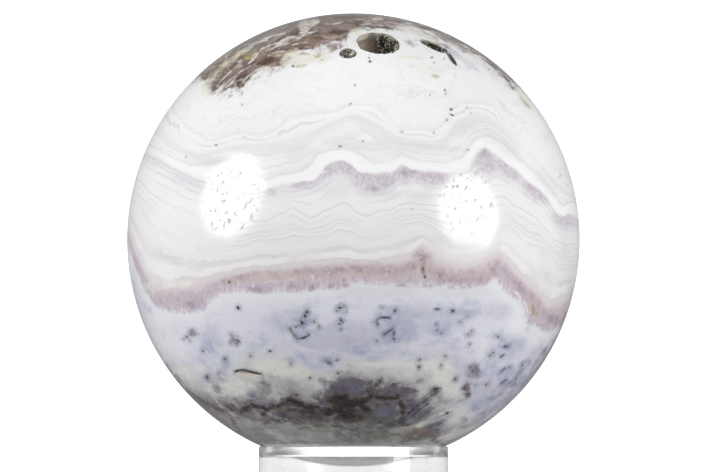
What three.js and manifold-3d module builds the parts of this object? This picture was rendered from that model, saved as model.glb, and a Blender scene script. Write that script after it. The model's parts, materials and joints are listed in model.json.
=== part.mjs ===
// A polished ball of banded agate, 76 mm across, resting on a clear ring stand.
// The ball is one stone. Hollows that the rock had before it was cut open on its polished face,
// and three of them are lined with a crust of small crystals.
// Units are millimetres and +Z is up. The origin is the middle of the ring's foot, and the ball's
// best side faces -Y.

import * as THREE from "three";
import { mergeVertices } from "three/addons/utils/BufferGeometryUtils.js";
import Module from "manifold-3d";

const wasm = await Module();
wasm.setup();

// Driving dimensions of the ball and its stand
const BALL_DIAMETER = 76;
const RING_OUTER_DIAMETER = 31.75;
const RING_BORE_DIAMETER = 25.4;
const RING_HEIGHT = 19;
const SEAT_BEVEL_DEPTH = 1.7;
const SEAT_LIP = 0.25;
const FOOT_CHAMFER = 0.4;
const GAP = 0.3;

// Facets
const BALL_DETAIL = 12;
const RING_SEGMENTS = 56;
const CRYSTAL_SIDES = 6;
const CRUST_FACE_DETAIL = 2;

// Each hollow lies at an azimuth from the best side, towards +X, and an elevation above the
// ball's equator. Its length runs along the parallel, turned by turn towards the pole. Sizes are
// those of its open mouth, and depth is measured from the polished face to its floor.
const HOLLOWS = {
  main: { azimuth: 11, elevation: 56.3, turn: 12, length: 7.1, width: 7.2, depth: 4.8, sink: 1.3, detail: 5 },
  side: { azimuth: 38, elevation: 55.6, turn: -51, length: 4.9, width: 2.3, depth: 1.9, sink: 0.3, detail: 3 },
  sideTail: { azimuth: 41.5, elevation: 50, turn: -100, length: 3.3, width: 1.0, depth: 0.7, sink: 0, detail: 2 },
  small: { azimuth: -2.2, elevation: 51.2, turn: 30, length: 2.9, width: 2.9, depth: 1.5, sink: 0.2, detail: 3 },
  yellow: { azimuth: -47, elevation: 51, turn: -5, length: 3.8, width: 1.7, depth: 1.1, sink: 0.1, detail: 2 },
  yellowSide: { azimuth: -56.3, elevation: 51.6, turn: 40, length: 2.2, width: 1.9, depth: 0.9, sink: 0, detail: 2 },
  fissure: { azimuth: -34.6, elevation: -36.8, turn: -10, length: 5.0, width: 1.1, depth: 1.1, sink: 0.1, detail: 2 },
};

// How the crystals line a hollow. The crust covers the part of the hollow that lies past side
// times its half length, and spread is how far up the walls it climbs, as a cosine.
const CRUSTS = {
  main: { side: 0.15, thickness: 0.5, crystals: 24, crystalWidth: 1.2, crystalHeight: 1.0, spread: 0.25 },
  side: { side: -1, thickness: 0.35, crystals: 12, crystalWidth: 0.8, crystalHeight: 0.6, spread: -0.1 },
  small: { side: -1, thickness: 0.3, crystals: 7, crystalWidth: 0.75, crystalHeight: 0.5, spread: -0.2 },
};
const CRUST_BELOW_POLISH = 0.35;

// A crystal's foot inside its crust and its shoulder above it, as shares of its height.
const CRYSTAL_FOOT = 0.3;
const CRYSTAL_SHOULDER = 0.45;

const ballRadius = BALL_DIAMETER / 2;
const seatRadius = RING_OUTER_DIAMETER / 2 - SEAT_LIP;
const ballCentreHeight = RING_HEIGHT + Math.sqrt(ballRadius ** 2 - seatRadius ** 2) + GAP;

// A closed three.js geometry as a solid that can be joined and cut.
function solid(geometry) {
  const bare = geometry.clone();
  bare.deleteAttribute("normal");
  bare.deleteAttribute("uv");
  const merged = mergeVertices(bare, 1e-4);
  return new wasm.Manifold(
    new wasm.Mesh({
      numProp: 3,
      vertProperties: merged.attributes.position.array,
      triVerts: new Uint32Array(merged.index.array),
    }),
  );
}

// The solid's surface as a three.js geometry.
function surface(manifold) {
  const mesh = manifold.getMesh();
  return new THREE.BufferGeometry()
    .setAttribute("position", new THREE.BufferAttribute(mesh.vertProperties, 3))
    .setIndex(new THREE.BufferAttribute(mesh.triVerts, 1));
}

function named(name, geometry, material) {
  const mesh = new THREE.Mesh(geometry, material);
  mesh.name = name;
  return mesh;
}

// The frame of a hollow: its origin on the polished face, X along its length, Z out of the stone.
function mouthFrame({ azimuth, elevation, turn }) {
  const a = THREE.MathUtils.degToRad(azimuth);
  const e = THREE.MathUtils.degToRad(elevation);
  const outward = new THREE.Vector3(Math.sin(a) * Math.cos(e), -Math.cos(a) * Math.cos(e), Math.sin(e));
  const along = new THREE.Vector3(Math.cos(a), Math.sin(a), 0);
  const uphill = new THREE.Vector3().crossVectors(outward, along);
  return new THREE.Matrix4()
    .makeBasis(along, uphill, outward)
    .multiply(new THREE.Matrix4().makeRotationZ(THREE.MathUtils.degToRad(turn)))
    .setPosition(outward.clone().multiplyScalar(ballRadius));
}

// How far the wall of a natural hollow stands from a smooth egg, in each direction.
function lump(d) {
  return (
    1 +
    0.07 * Math.sin(3.1 * d.x + 2.3 * d.y + 0.8) +
    0.06 * Math.sin(4.3 * d.y - 2.9 * d.z + 2.1) +
    0.04 * Math.sin(5.7 * d.z + 4.1 * d.x + 0.3)
  );
}

// The half axes that give an egg, sunk below the face, the mouth and the depth that are stated.
function halfAxes({ length, width, depth, sink }) {
  const down = depth - sink;
  const mouthShare = Math.sqrt(1 - (sink / down) ** 2);
  return new THREE.Vector3(length / 2 / mouthShare, width / 2 / mouthShare, down);
}

// A point of the hollow's wall, moved in from it by inset, in the frame of the hollow's mouth.
function wallPoint(hollow, direction, inset) {
  const half = halfAxes(hollow).subScalar(inset);
  const point = direction.clone().multiply(half).multiplyScalar(lump(direction));
  point.z -= hollow.sink;
  return point;
}

// The lumpy egg that a hollow leaves in the stone, or that fits inside it with a clearance.
function egg(hollow, inset, detail = hollow.detail) {
  const geometry = new THREE.IcosahedronGeometry(1, detail);
  const position = geometry.attributes.position;
  const direction = new THREE.Vector3();
  for (let i = 0; i < position.count; i++) {
    direction.fromBufferAttribute(position, i).normalize();
    position.setXYZ(i, ...wallPoint(hollow, direction, inset).toArray());
  }
  return solid(geometry.applyMatrix4(mouthFrame(hollow)));
}

function ballOf(radius) {
  return solid(new THREE.IcosahedronGeometry(radius, BALL_DETAIL));
}

// One six-sided crystal with a point, its foot at the origin and its tip along Z.
function crystal(width, height) {
  const foot = -height * CRYSTAL_FOOT;
  const profile = [
    [0, foot],
    [width / 2, foot],
    [width * 0.46, height * CRYSTAL_SHOULDER],
    [0, height],
  ].map(([r, z]) => new THREE.Vector2(r, z));
  return new THREE.LatheGeometry(profile, CRYSTAL_SIDES).rotateX(Math.PI / 2);
}

// Crystals stand all over the crust, evenly spread on a spiral, each a little out of true.
function crystalsOn(hollow, crust) {
  const goldenAngle = Math.PI * (3 - Math.sqrt(5));
  const frame = mouthFrame(hollow);
  const inset = GAP + crust.thickness * 0.8;
  const solids = [];
  for (let i = 0; i < crust.crystals * 4 && solids.length < crust.crystals; i++) {
    const down = -1 + ((i + 0.5) / (crust.crystals * 4)) * 4 * (1 + crust.spread) * 0.5;
    const out = Math.sqrt(Math.max(0, 1 - down * down));
    const direction = new THREE.Vector3(
      out * Math.cos(i * goldenAngle),
      out * Math.sin(i * goldenAngle),
      down,
    );
    if (direction.x < crust.side || down > crust.spread) continue;
    const lean = new THREE.Vector3(Math.sin(i * 2.4), Math.cos(i * 3.7), Math.sin(i * 1.3)).multiplyScalar(0.25);
    const inward = direction.clone().negate().add(lean).normalize();
    const size = 0.75 + 0.25 * Math.sin(i * 5.1);
    const placed = new THREE.Matrix4().compose(
      wallPoint(hollow, direction, inset),
      new THREE.Quaternion().setFromUnitVectors(new THREE.Vector3(0, 0, 1), inward),
      new THREE.Vector3(size, size, size),
    );
    solids.push(solid(crystal(crust.crystalWidth, crust.crystalHeight).applyMatrix4(frame.clone().multiply(placed))));
  }
  return solids;
}

// The part of a hollow that its crust covers: past a plane across the hollow's length.
function coveredSide(hollow, crust) {
  const half = halfAxes(hollow).x;
  const reach = BALL_DIAMETER;
  const box = new THREE.BoxGeometry(reach, reach, reach).translate(reach / 2 + crust.side * half * 0.9, 0, 0);
  return solid(box.applyMatrix4(mouthFrame(hollow)));
}

// A druse: a thin skin that follows the hollow's wall, with crystals grown together on it.
function druse(hollow, crust) {
  let skin = egg(hollow, GAP).subtract(egg(hollow, GAP + crust.thickness, CRUST_FACE_DETAIL));
  if (crust.side > -1) skin = skin.intersect(coveredSide(hollow, crust));
  for (const one of crystalsOn(hollow, crust)) skin = skin.add(one);
  const below = skin.intersect(ballOf(ballRadius - CRUST_BELOW_POLISH));
  return below.decompose().sort((a, b) => b.volume() - a.volume())[0];
}

// The clear ring: a plain tube whose upper edge is bevelled inwards to seat the ball.
function ring() {
  const outer = RING_OUTER_DIAMETER / 2;
  const bore = RING_BORE_DIAMETER / 2;
  const profile = [
    [bore, FOOT_CHAMFER],
    [bore + FOOT_CHAMFER, 0],
    [outer - FOOT_CHAMFER, 0],
    [outer, FOOT_CHAMFER],
    [outer, RING_HEIGHT],
    [outer - SEAT_LIP, RING_HEIGHT],
    [bore, RING_HEIGHT - SEAT_BEVEL_DEPTH],
    [bore, FOOT_CHAMFER],
  ].map(([r, z]) => new THREE.Vector2(r, z));
  return new THREE.LatheGeometry(profile, RING_SEGMENTS).rotateX(Math.PI / 2);
}

const agate = new THREE.MeshStandardMaterial({ color: 0xe6e4ea, roughness: 0.12, metalness: 0 });
const druzyQuartz = new THREE.MeshStandardMaterial({ color: 0x4a4a42, roughness: 0.25, metalness: 0 });
const clearAcrylic = new THREE.MeshStandardMaterial({
  color: 0xf4f7f8,
  roughness: 0.05,
  metalness: 0,
  transparent: true,
  opacity: 0.3,
});

const stone = new THREE.Group();
stone.position.z = ballCentreHeight;
let ball = ballOf(ballRadius);
for (const hollow of Object.values(HOLLOWS)) ball = ball.subtract(egg(hollow, 0));
stone.add(named("ball", surface(ball), agate));
for (const [name, crust] of Object.entries(CRUSTS))
  stone.add(named(`${name}_hollow_druse`, surface(druse(HOLLOWS[name], crust)), druzyQuartz));

const part = new THREE.Group();
part.add(stone, named("ring_stand", ring(), clearAcrylic));

export default part;
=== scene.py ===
# %% [markdown]
# # A polished agate ball on a clear ring
#
# The stone is one ball of banded agate, 76 mm across. Its layers were laid down one on another
# inside a cavity of the rock, so they cross the ball as wavy courses: a brown crystalline cap,
# white bands with hairlines, a speckled mauve band, more white bands, a mauve band with a rusty
# heart, a milky lavender zone with dark plumes, cream clouds, and a dark red-brown base. The frame
# holds the solids at their real size. This lesson makes a finer mesh for each of them and then
# spends most of its care on the stone's colours.

# %% The frame and the tools
import json
import math
import random

import bpy
import numpy as np
from mathutils import Matrix, Vector

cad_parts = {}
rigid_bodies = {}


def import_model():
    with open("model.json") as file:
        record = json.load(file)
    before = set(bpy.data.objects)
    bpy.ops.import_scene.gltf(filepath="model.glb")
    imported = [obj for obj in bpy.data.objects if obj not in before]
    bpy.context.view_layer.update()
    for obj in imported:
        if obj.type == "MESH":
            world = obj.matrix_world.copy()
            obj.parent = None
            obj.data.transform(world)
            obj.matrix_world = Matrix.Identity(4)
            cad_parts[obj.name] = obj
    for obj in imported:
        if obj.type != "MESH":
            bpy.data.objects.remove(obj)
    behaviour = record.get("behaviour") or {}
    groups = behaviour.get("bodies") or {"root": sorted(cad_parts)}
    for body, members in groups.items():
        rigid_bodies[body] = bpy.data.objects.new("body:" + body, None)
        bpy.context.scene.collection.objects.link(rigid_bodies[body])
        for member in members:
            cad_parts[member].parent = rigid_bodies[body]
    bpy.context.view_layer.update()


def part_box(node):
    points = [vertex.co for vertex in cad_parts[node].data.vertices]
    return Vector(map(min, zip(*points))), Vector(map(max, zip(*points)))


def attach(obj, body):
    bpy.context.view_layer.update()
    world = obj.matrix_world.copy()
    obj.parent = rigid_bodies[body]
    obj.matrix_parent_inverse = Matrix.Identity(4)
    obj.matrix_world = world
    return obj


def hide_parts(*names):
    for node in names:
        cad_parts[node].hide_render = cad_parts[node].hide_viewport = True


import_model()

MM = 0.001
ball_low, ball_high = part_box("ball")
BALL_CENTRE = (ball_low + ball_high) / 2
BALL_RADIUS = (ball_high.x - ball_low.x) / 2
ring_low, ring_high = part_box("ring_stand")
print("ball radius", round(BALL_RADIUS, 5), "centre height", round(BALL_CENTRE.z, 5))

# %% [markdown]
# ## The camera
#
# The photograph was taken from about 0.9 m with a long lens, level with the ring's upper edge,
# which shows as a straight line. The ball's outline gives the lens: a ball of this radius at this
# distance fills a known angle, and its radius in the picture is known in pixels.

# %% The camera
PICTURE_WIDTH, PICTURE_HEIGHT = 708, 472
BALL_IN_PICTURE = (353.4, 239.6)
BALL_RADIUS_IN_PICTURE = 226.4
CAMERA_DISTANCE = 0.9
CAMERA_ABOVE_RING = 0.0004
SENSOR = 36.0
CLIP_NEAR, CLIP_FAR = 0.01, 20
# light bounces many times inside the walls of the clear ring
RING_BOUNCES = 12


def put(name, data, place, facing):
    """Puts a camera or a lamp at a place, facing a direction."""
    thing = bpy.data.objects.new(name, data)
    bpy.context.scene.collection.objects.link(thing)
    thing.location, thing.rotation_mode = place, "QUATERNION"
    thing.rotation_quaternion = facing.to_track_quat("-Z", "Y")
    return thing


camera_place = Vector((0, BALL_CENTRE.y - CAMERA_DISTANCE, ring_high.z + CAMERA_ABOVE_RING))
climb = BALL_CENTRE.z - camera_place.z
to_ball = math.hypot(CAMERA_DISTANCE, climb)
focal_pixels = BALL_RADIUS_IN_PICTURE / math.tan(math.asin(BALL_RADIUS / to_ball))
picture_middle = (PICTURE_WIDTH / 2, PICTURE_HEIGHT / 2)
below_middle = (BALL_IN_PICTURE[1] - picture_middle[1]) / focal_pixels
pitch = math.atan2(climb, CAMERA_DISTANCE) + below_middle
yaw = (picture_middle[0] - BALL_IN_PICTURE[0]) / focal_pixels
looking = Vector((yaw, math.cos(pitch), math.sin(pitch))).normalized()

camera = put("camera", bpy.data.cameras.new("camera"), camera_place, looking)
camera.data.sensor_width = SENSOR
camera.data.lens = focal_pixels * SENSOR / PICTURE_WIDTH
camera.data.clip_start, camera.data.clip_end = CLIP_NEAR, CLIP_FAR
bpy.context.scene.camera = camera
bpy.context.scene.cycles.glossy_bounces = RING_BOUNCES
print("lens", round(camera.data.lens, 2), "mm")

# %% [markdown]
# ## Light and backdrop
#
# Two round softboxes stand in front of the ball, left and right, a little above it. Their mirror
# images are the two large white patches on its polished face. A weak lamp overhead and even light
# from the room do the rest. The room is grey to the stone, and white to the camera and through the
# clear ring, as in a cut-out product picture.

# %% Light and backdrop
# azimuth from the front towards +X, elevation, distance and size in metres, and power in watts
SOFTBOXES = {
    "left softbox": (-65.3, 17.4, 0.9, 0.57, 5.1),
    "right softbox": (60.3, 10.5, 0.9, 0.54, 5.1),
    "overhead": (0, 85, 1.2, 0.9, 0.9),
}
ROOM_SEEN, ROOM_LIGHT = 1.5, 0.41


def outward_at(azimuth, elevation):
    """The direction out of the ball at an azimuth and an elevation."""
    a, e = math.radians(azimuth), math.radians(elevation)
    return Vector((math.sin(a) * math.cos(e), -math.cos(a) * math.cos(e), math.sin(e)))


for name, (azimuth, elevation, distance, size, power) in SOFTBOXES.items():
    lamp = bpy.data.lights.new(name, "AREA")
    lamp.shape, lamp.size, lamp.energy = "DISK", size, power
    outward = outward_at(azimuth, elevation)
    put(name, lamp, BALL_CENTRE + outward * distance, -outward)

world = bpy.data.worlds.new("white room")
bpy.context.scene.world = world
world.use_nodes = True
room, join = world.node_tree.nodes, world.node_tree.links.new
room.clear()
seen, felt = (room.new("ShaderNodeBackground") for _ in range(2))
seen.inputs["Color"].default_value = (ROOM_SEEN, ROOM_SEEN, ROOM_SEEN, 1)
felt.inputs["Color"].default_value = (ROOM_LIGHT, ROOM_LIGHT, ROOM_LIGHT, 1)
path, either = room.new("ShaderNodeLightPath"), room.new("ShaderNodeMixShader")
out, seen_or_clear = room.new("ShaderNodeOutputWorld"), room.new("ShaderNodeMath")
seen_or_clear.operation = "MAXIMUM"
join(path.outputs["Is Camera Ray"], seen_or_clear.inputs[0])
join(path.outputs["Is Transmission Ray"], seen_or_clear.inputs[1])
join(seen_or_clear.outputs[0], either.inputs["Fac"])
join(felt.outputs[0], either.inputs[1])
join(seen.outputs[0], either.inputs[2])
join(either.outputs[0], out.inputs["Surface"])
bpy.context.scene.view_settings.view_transform = "Standard"
print("lamps", ", ".join(SOFTBOXES))

# %% [markdown]
# ## Small helpers for modelling
#
# Operators act on whatever is selected, so each step first says what it works on. A modifier is
# added, set and applied in one call, and a finished piece is moved to the origin with its place
# kept in its mesh.

# %% Modelling helpers
def work_on(piece):
    bpy.ops.object.select_all(action="DESELECT")
    piece.select_set(True)
    bpy.context.view_layer.objects.active = piece


def modify(piece, kind, **settings):
    """Adds a modifier, sets it and applies it."""
    work_on(piece)
    bpy.ops.object.modifier_add(type=kind)
    modifier = piece.modifiers[-1]
    for key, value in settings.items():
        setattr(modifier, key, value)
    bpy.ops.object.modifier_apply(modifier=modifier.name)


def settle(piece, name):
    """Gives the piece its name and keeps its place in its mesh."""
    work_on(piece)
    bpy.ops.object.transform_apply(location=True, rotation=True, scale=True)
    piece.name = piece.data.name = name


def select_faces(piece, wanted):
    """Goes to edit mode with only those faces selected whose centre and normal are wanted."""
    work_on(piece)
    bpy.context.tool_settings.mesh_select_mode = (False, False, True)
    bpy.ops.object.mode_set(mode="EDIT")
    bpy.ops.mesh.select_all(action="DESELECT")
    bpy.ops.object.mode_set(mode="OBJECT")
    chosen = [wanted(face.center, face.normal) for face in piece.data.polygons]
    piece.data.polygons.foreach_set("select", chosen)
    bpy.ops.object.mode_set(mode="EDIT")


def leave_edit():
    bpy.ops.object.mode_set(mode="OBJECT")


def count_triangles(piece):
    triangles = sum(len(face.vertices) - 2 for face in piece.data.polygons)
    print(piece.name, triangles, "triangles")


# %% [markdown]
# ## The hollows
#
# The rock had open spaces before it was cut: one large hollow at the top, a narrow one right of it,
# a small round one left of it, two yellow-stained pits, and a fissure low on the left. Each is a
# lumpy egg, sunk under the polished face, that is cut out of the ball. A hollow could be sculpted,
# but only a cut leaves the crisp mouth that polishing gives it. The eggs are modelled from
# icospheres, stretched to size and roughened with two sizes of lumps.

# %% The hollows
# azimuth from the front towards +X, elevation, turn of the long axis, then length, width and depth
# of the open mouth and how far the egg's middle lies under the face, in millimetres
HOLLOWS = {
    "main": (11, 56.3, 12, 7.1, 7.2, 4.8, 1.3),
    "side": (38, 55.6, -51, 4.9, 2.8, 1.9, 0.3),
    "side_tail": (41.5, 50, -100, 3.3, 1.3, 0.7, 0),
    "small": (-2.2, 51.2, 30, 2.9, 2.9, 1.5, 0.2),
    "yellow": (-47, 51, -5, 3.8, 1.7, 1.1, 0.1),
    "yellow_side": (-56.3, 51.6, 40, 2.2, 1.9, 0.9, 0),
    "fissure": (-34.6, -36.8, -10, 5.0, 1.1, 1.1, 0.1),
}
# the size of the lumps on a wall, and their height as a share of the egg's shortest half axis
WALL_LUMPS = {"lumps": (0.0022, 0.28), "grit": (0.0005, 0.07)}


def mouth_frame(name):
    """The place of a hollow's mouth: X along its length, Z out of the stone."""
    azimuth, elevation, turn = HOLLOWS[name][:3]
    outward = outward_at(azimuth, elevation)
    along = Vector((math.cos(math.radians(azimuth)), math.sin(math.radians(azimuth)), 0))
    uphill = outward.cross(along)
    basis = Matrix((along, uphill, outward)).transposed().to_4x4()
    spin = Matrix.Rotation(math.radians(turn), 4, "Z")
    return Matrix.Translation(BALL_CENTRE + outward * BALL_RADIUS) @ basis @ spin


def half_axes(length, width, depth, sink):
    """The egg's half axes, in metres, that leave a mouth of this size on the face."""
    down = depth - sink
    mouth_share = math.sqrt(1 - (sink / down) ** 2)
    return Vector((length / 2 / mouth_share, width / 2 / mouth_share, down)) * MM


def egg(name, shrink=0.0, detail=5):
    """The lumpy egg of a hollow, drawn in by shrink, with its place in its mesh."""
    bpy.ops.mesh.primitive_ico_sphere_add(subdivisions=detail, radius=1)
    piece = bpy.context.object
    length, width, depth, sink = HOLLOWS[name][3:]
    half = half_axes(length, width, depth, sink)
    sunk = Matrix.Translation((0, 0, -sink * MM))
    stretch = Matrix.Diagonal((*(side - shrink for side in half), 1))
    piece.matrix_world = mouth_frame(name) @ sunk @ stretch
    settle(piece, f"{name} egg")
    for lumps, (size, share) in WALL_LUMPS.items():
        pattern = bpy.data.textures.new(lumps, "CLOUDS")
        pattern.noise_scale = size
        modify(piece, "DISPLACE", texture=pattern, strength=min(half) * share, mid_level=0.5)
    return piece


print("hollows", ", ".join(HOLLOWS))

# %% [markdown]
# ## The ball
#
# The ball starts as a fine icosphere, because a UV sphere crowds its vertices at two poles. The
# colours will be drawn on the vertices, so the side that the photograph shows is subdivided once
# more, and a Cast modifier brings the new vertices back onto the true sphere. The eggs are then cut
# out of it. The cut walls keep a material of their own.

# %% The ball
BALL_SUBDIVISIONS = 7
FRONT = Vector((0, -1, 0.12)).normalized()
FINE_SIDE = 0.42
SMOOTH_UNDER = math.radians(28)


def make_ball(polish, wall):
    bpy.ops.mesh.primitive_ico_sphere_add(subdivisions=BALL_SUBDIVISIONS, radius=BALL_RADIUS)
    ball = bpy.context.object
    select_faces(ball, lambda centre, normal: normal.dot(FRONT) > FINE_SIDE)
    bpy.ops.mesh.subdivide(number_cuts=1)
    leave_edit()
    modify(ball, "CAST", cast_type="SPHERE", factor=1, size=BALL_RADIUS, use_radius_as_size=False)
    modify(ball, "TRIANGULATE")
    ball.location = BALL_CENTRE
    settle(ball, "polished_ball")
    ball.data.materials.append(polish)
    tools = bpy.data.collections.new("hollow tools")
    bpy.context.scene.collection.children.link(tools)
    for name in HOLLOWS:
        tool = egg(name)
        tool.data.materials.append(wall)
        tools.objects.link(tool)
    modify(ball, "BOOLEAN", operation="DIFFERENCE", operand_type="COLLECTION", collection=tools,
           solver="EXACT", material_mode="TRANSFER")
    for tool in list(tools.objects):
        bpy.data.objects.remove(tool)
    bpy.data.collections.remove(tools)
    modify(ball, "TRIANGULATE")
    work_on(ball)
    bpy.ops.object.shade_smooth_by_angle(angle=SMOOTH_UNDER)
    count_triangles(ball)
    return ball


# %% [markdown]
# ## The crystal crusts
#
# Three hollows are lined with a druse, a crust of small quartz crystals. One crystal is modelled: a
# six-sided prism whose top face is extruded and drawn together to a point. Copies of it stand all
# over a thin skin that follows the hollow's wall, each leaning and sized a little differently, and
# all are joined with the skin into one crust. Bump alone would not do, as it has no flat faces to
# catch the light. In the large hollow only the right side is covered.

# %% The crystal crusts
CRUST_GAP = 0.00025
CRUST_BELOW_POLISH = 0.0002
CRUST_SKIN = 0.0002
CRUST_DETAIL = 4
# where the crust starts along the hollow, how many crystals, and their width and height in mm
CRUSTS = {
    "main": (0.3, 420, 0.42, 0.50),
    "side": (-1.0, 150, 0.34, 0.36),
    "small": (-1.0, 90, 0.30, 0.30),
}
# a crystal one unit wide and high, before its point, and how much a copy leans and grows
CRYSTAL_POINT = 0.55
CRYSTAL_LEAN = 0.45
CRYSTAL_GROWTH = (0.55, 1.25)
CRYSTAL_LIFT = 0.25


def model_crystal():
    bpy.ops.mesh.primitive_cylinder_add(vertices=6, radius=0.5, depth=1)
    crystal = bpy.context.object
    select_faces(crystal, lambda centre, normal: normal.z > 0.9)
    bpy.ops.mesh.extrude_region_move(TRANSFORM_OT_translate={"value": (0, 0, CRYSTAL_POINT)})
    bpy.ops.mesh.merge(type="CENTER")
    leave_edit()
    return crystal


def covered(name, side):
    """Tells whether a place on a hollow's wall lies under the crust."""
    inside = mouth_frame(name).inverted()
    start = side * HOLLOWS[name][3] / 2 * MM
    deepest = BALL_RADIUS - CRUST_BELOW_POLISH
    return lambda place: (inside @ place).x > start and (place - BALL_CENTRE).length < deepest


def make_crust(name, crystal, material):
    side, count, width, height = CRUSTS[name]
    keeps = covered(name, side)
    skin = egg(name, shrink=CRUST_GAP, detail=CRUST_DETAIL)
    select_faces(skin, lambda centre, normal: not keeps(centre))
    bpy.ops.mesh.delete(type="FACE")
    leave_edit()
    # each crust has dice of its own, which fall the same in every run
    dice = random.Random(len(name) * 7)
    seats = [(face.center.copy(), -face.normal.copy()) for face in skin.data.polygons]
    modify(skin, "SOLIDIFY", thickness=CRUST_SKIN, offset=-1)
    parts = [skin]
    for seat, inward in dice.sample(seats, min(count, len(seats))):
        one = bpy.data.objects.new("crystal", crystal.data.copy())
        bpy.context.scene.collection.objects.link(one)
        lean = Vector(dice.uniform(-CRYSTAL_LEAN, CRYSTAL_LEAN) for _ in range(3))
        stand = (inward + lean).to_track_quat("Z", "Y").to_matrix().to_4x4()
        size = Vector((width, width, height)) * MM * dice.uniform(*CRYSTAL_GROWTH)
        lift = Matrix.Translation((0, 0, size.z * CRYSTAL_LIFT))
        spin = Matrix.Rotation(dice.uniform(0, math.tau), 4, "Z")
        grow = Matrix.Diagonal((*size, 1))
        one.matrix_world = Matrix.Translation(seat) @ stand @ lift @ spin @ grow
        parts.append(one)
    work_on(skin)
    for part in parts:
        part.select_set(True)
    bpy.ops.object.join()
    settle(skin, f"{name}_druse")
    skin.data.materials.clear()
    skin.data.materials.append(material)
    count_triangles(skin)
    return skin


# %% [markdown]
# ## The ring stand
#
# The ring is a slice of thick clear tube. Its section is a plane with its upper edge pulled down on
# the inside, which gives the bevel that the ball sits on, and small bevels on its corners. The bare
# edge loop is spun once round the axis, and the doubled seam is merged. A cylinder with a hole
# would do too, but one section keeps all four edges in one place.

# %% The ring stand
RING_OUTER = (ring_high.x - ring_low.x) / 2
RING_WALL = 0.003175
SEAT_BEVEL_DEPTH = 0.0017
SEAT_LIP = 0.00025
RING_STEPS = 180
RING_CORNER = 0.0002
RING_SEAM = 0.000005
RING_SMOOTH_UNDER = math.radians(5)


def make_ring(material):
    seat_radius = RING_OUTER - SEAT_LIP
    seat_height = BALL_CENTRE.z - math.sqrt(BALL_RADIUS ** 2 - seat_radius ** 2)
    middle = RING_OUTER - RING_WALL / 2
    bpy.ops.mesh.primitive_plane_add(size=1, location=(middle, 0, seat_height / 2),
                                     rotation=(math.pi / 2, 0, 0))
    ring = bpy.context.object
    ring.scale = (RING_WALL, seat_height, 1)
    settle(ring, "clear_ring")
    inner_top = min(ring.data.vertices, key=lambda corner: corner.co.x - corner.co.z)
    inner_top.co.z -= SEAT_BEVEL_DEPTH
    work_on(ring)
    bpy.ops.object.mode_set(mode="EDIT")
    bpy.ops.mesh.select_all(action="SELECT")
    bpy.ops.mesh.bevel(offset=RING_CORNER, segments=2, affect="VERTICES")
    bpy.ops.mesh.select_all(action="SELECT")
    bpy.ops.mesh.delete(type="ONLY_FACE")
    bpy.ops.mesh.select_all(action="SELECT")
    bpy.ops.mesh.spin(steps=RING_STEPS, angle=math.tau, center=(0, 0, 0), axis=(0, 0, 1))
    bpy.ops.mesh.select_all(action="SELECT")
    bpy.ops.mesh.remove_doubles(threshold=RING_SEAM)
    bpy.ops.mesh.normals_make_consistent(inside=False)
    leave_edit()
    bpy.ops.object.shade_smooth_by_angle(angle=RING_SMOOTH_UNDER)
    ring.data.materials.append(material)
    count_triangles(ring)
    return ring


# %% [markdown]
# ## Writing shader maths as sums
#
# A Wire wraps a socket, so that `mask * 0.5 + grain` adds the Math nodes. A Recipe holds one
# material and makes every other node through one method: its settings first, then its sockets.

# %% Sums of sockets
class Wire:
    """A number, colour or vector that flows through a material."""

    def __init__(self, recipe, socket):
        self.recipe, self.socket = recipe, socket

    def _sum(self, operation, first, second):
        return self.recipe.node("ShaderNodeMath", {"operation": operation}, {0: first, 1: second})

    def __add__(self, other):
        return self._sum("ADD", self, other)

    def __sub__(self, other):
        return self._sum("SUBTRACT", self, other)

    def __rsub__(self, other):
        return self._sum("SUBTRACT", other, self)

    def __mul__(self, other):
        return self._sum("MULTIPLY", self, other)

    __radd__, __rmul__ = __add__, __mul__


def tint(red, green, blue):
    """A colour as read on a screen, 0 to 255, made linear for the shader."""
    def linear(value):
        share = value / 255
        return share / 12.92 if share <= 0.04045 else ((share + 0.055) / 1.055) ** 2.4
    return (linear(red), linear(green), linear(blue), 1)


def tints(*stops):
    """The stops of a ramp: each is a value and the colour on a screen that belongs to it."""
    return [(value, tint(*colour)) for value, *colour in stops]


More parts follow.
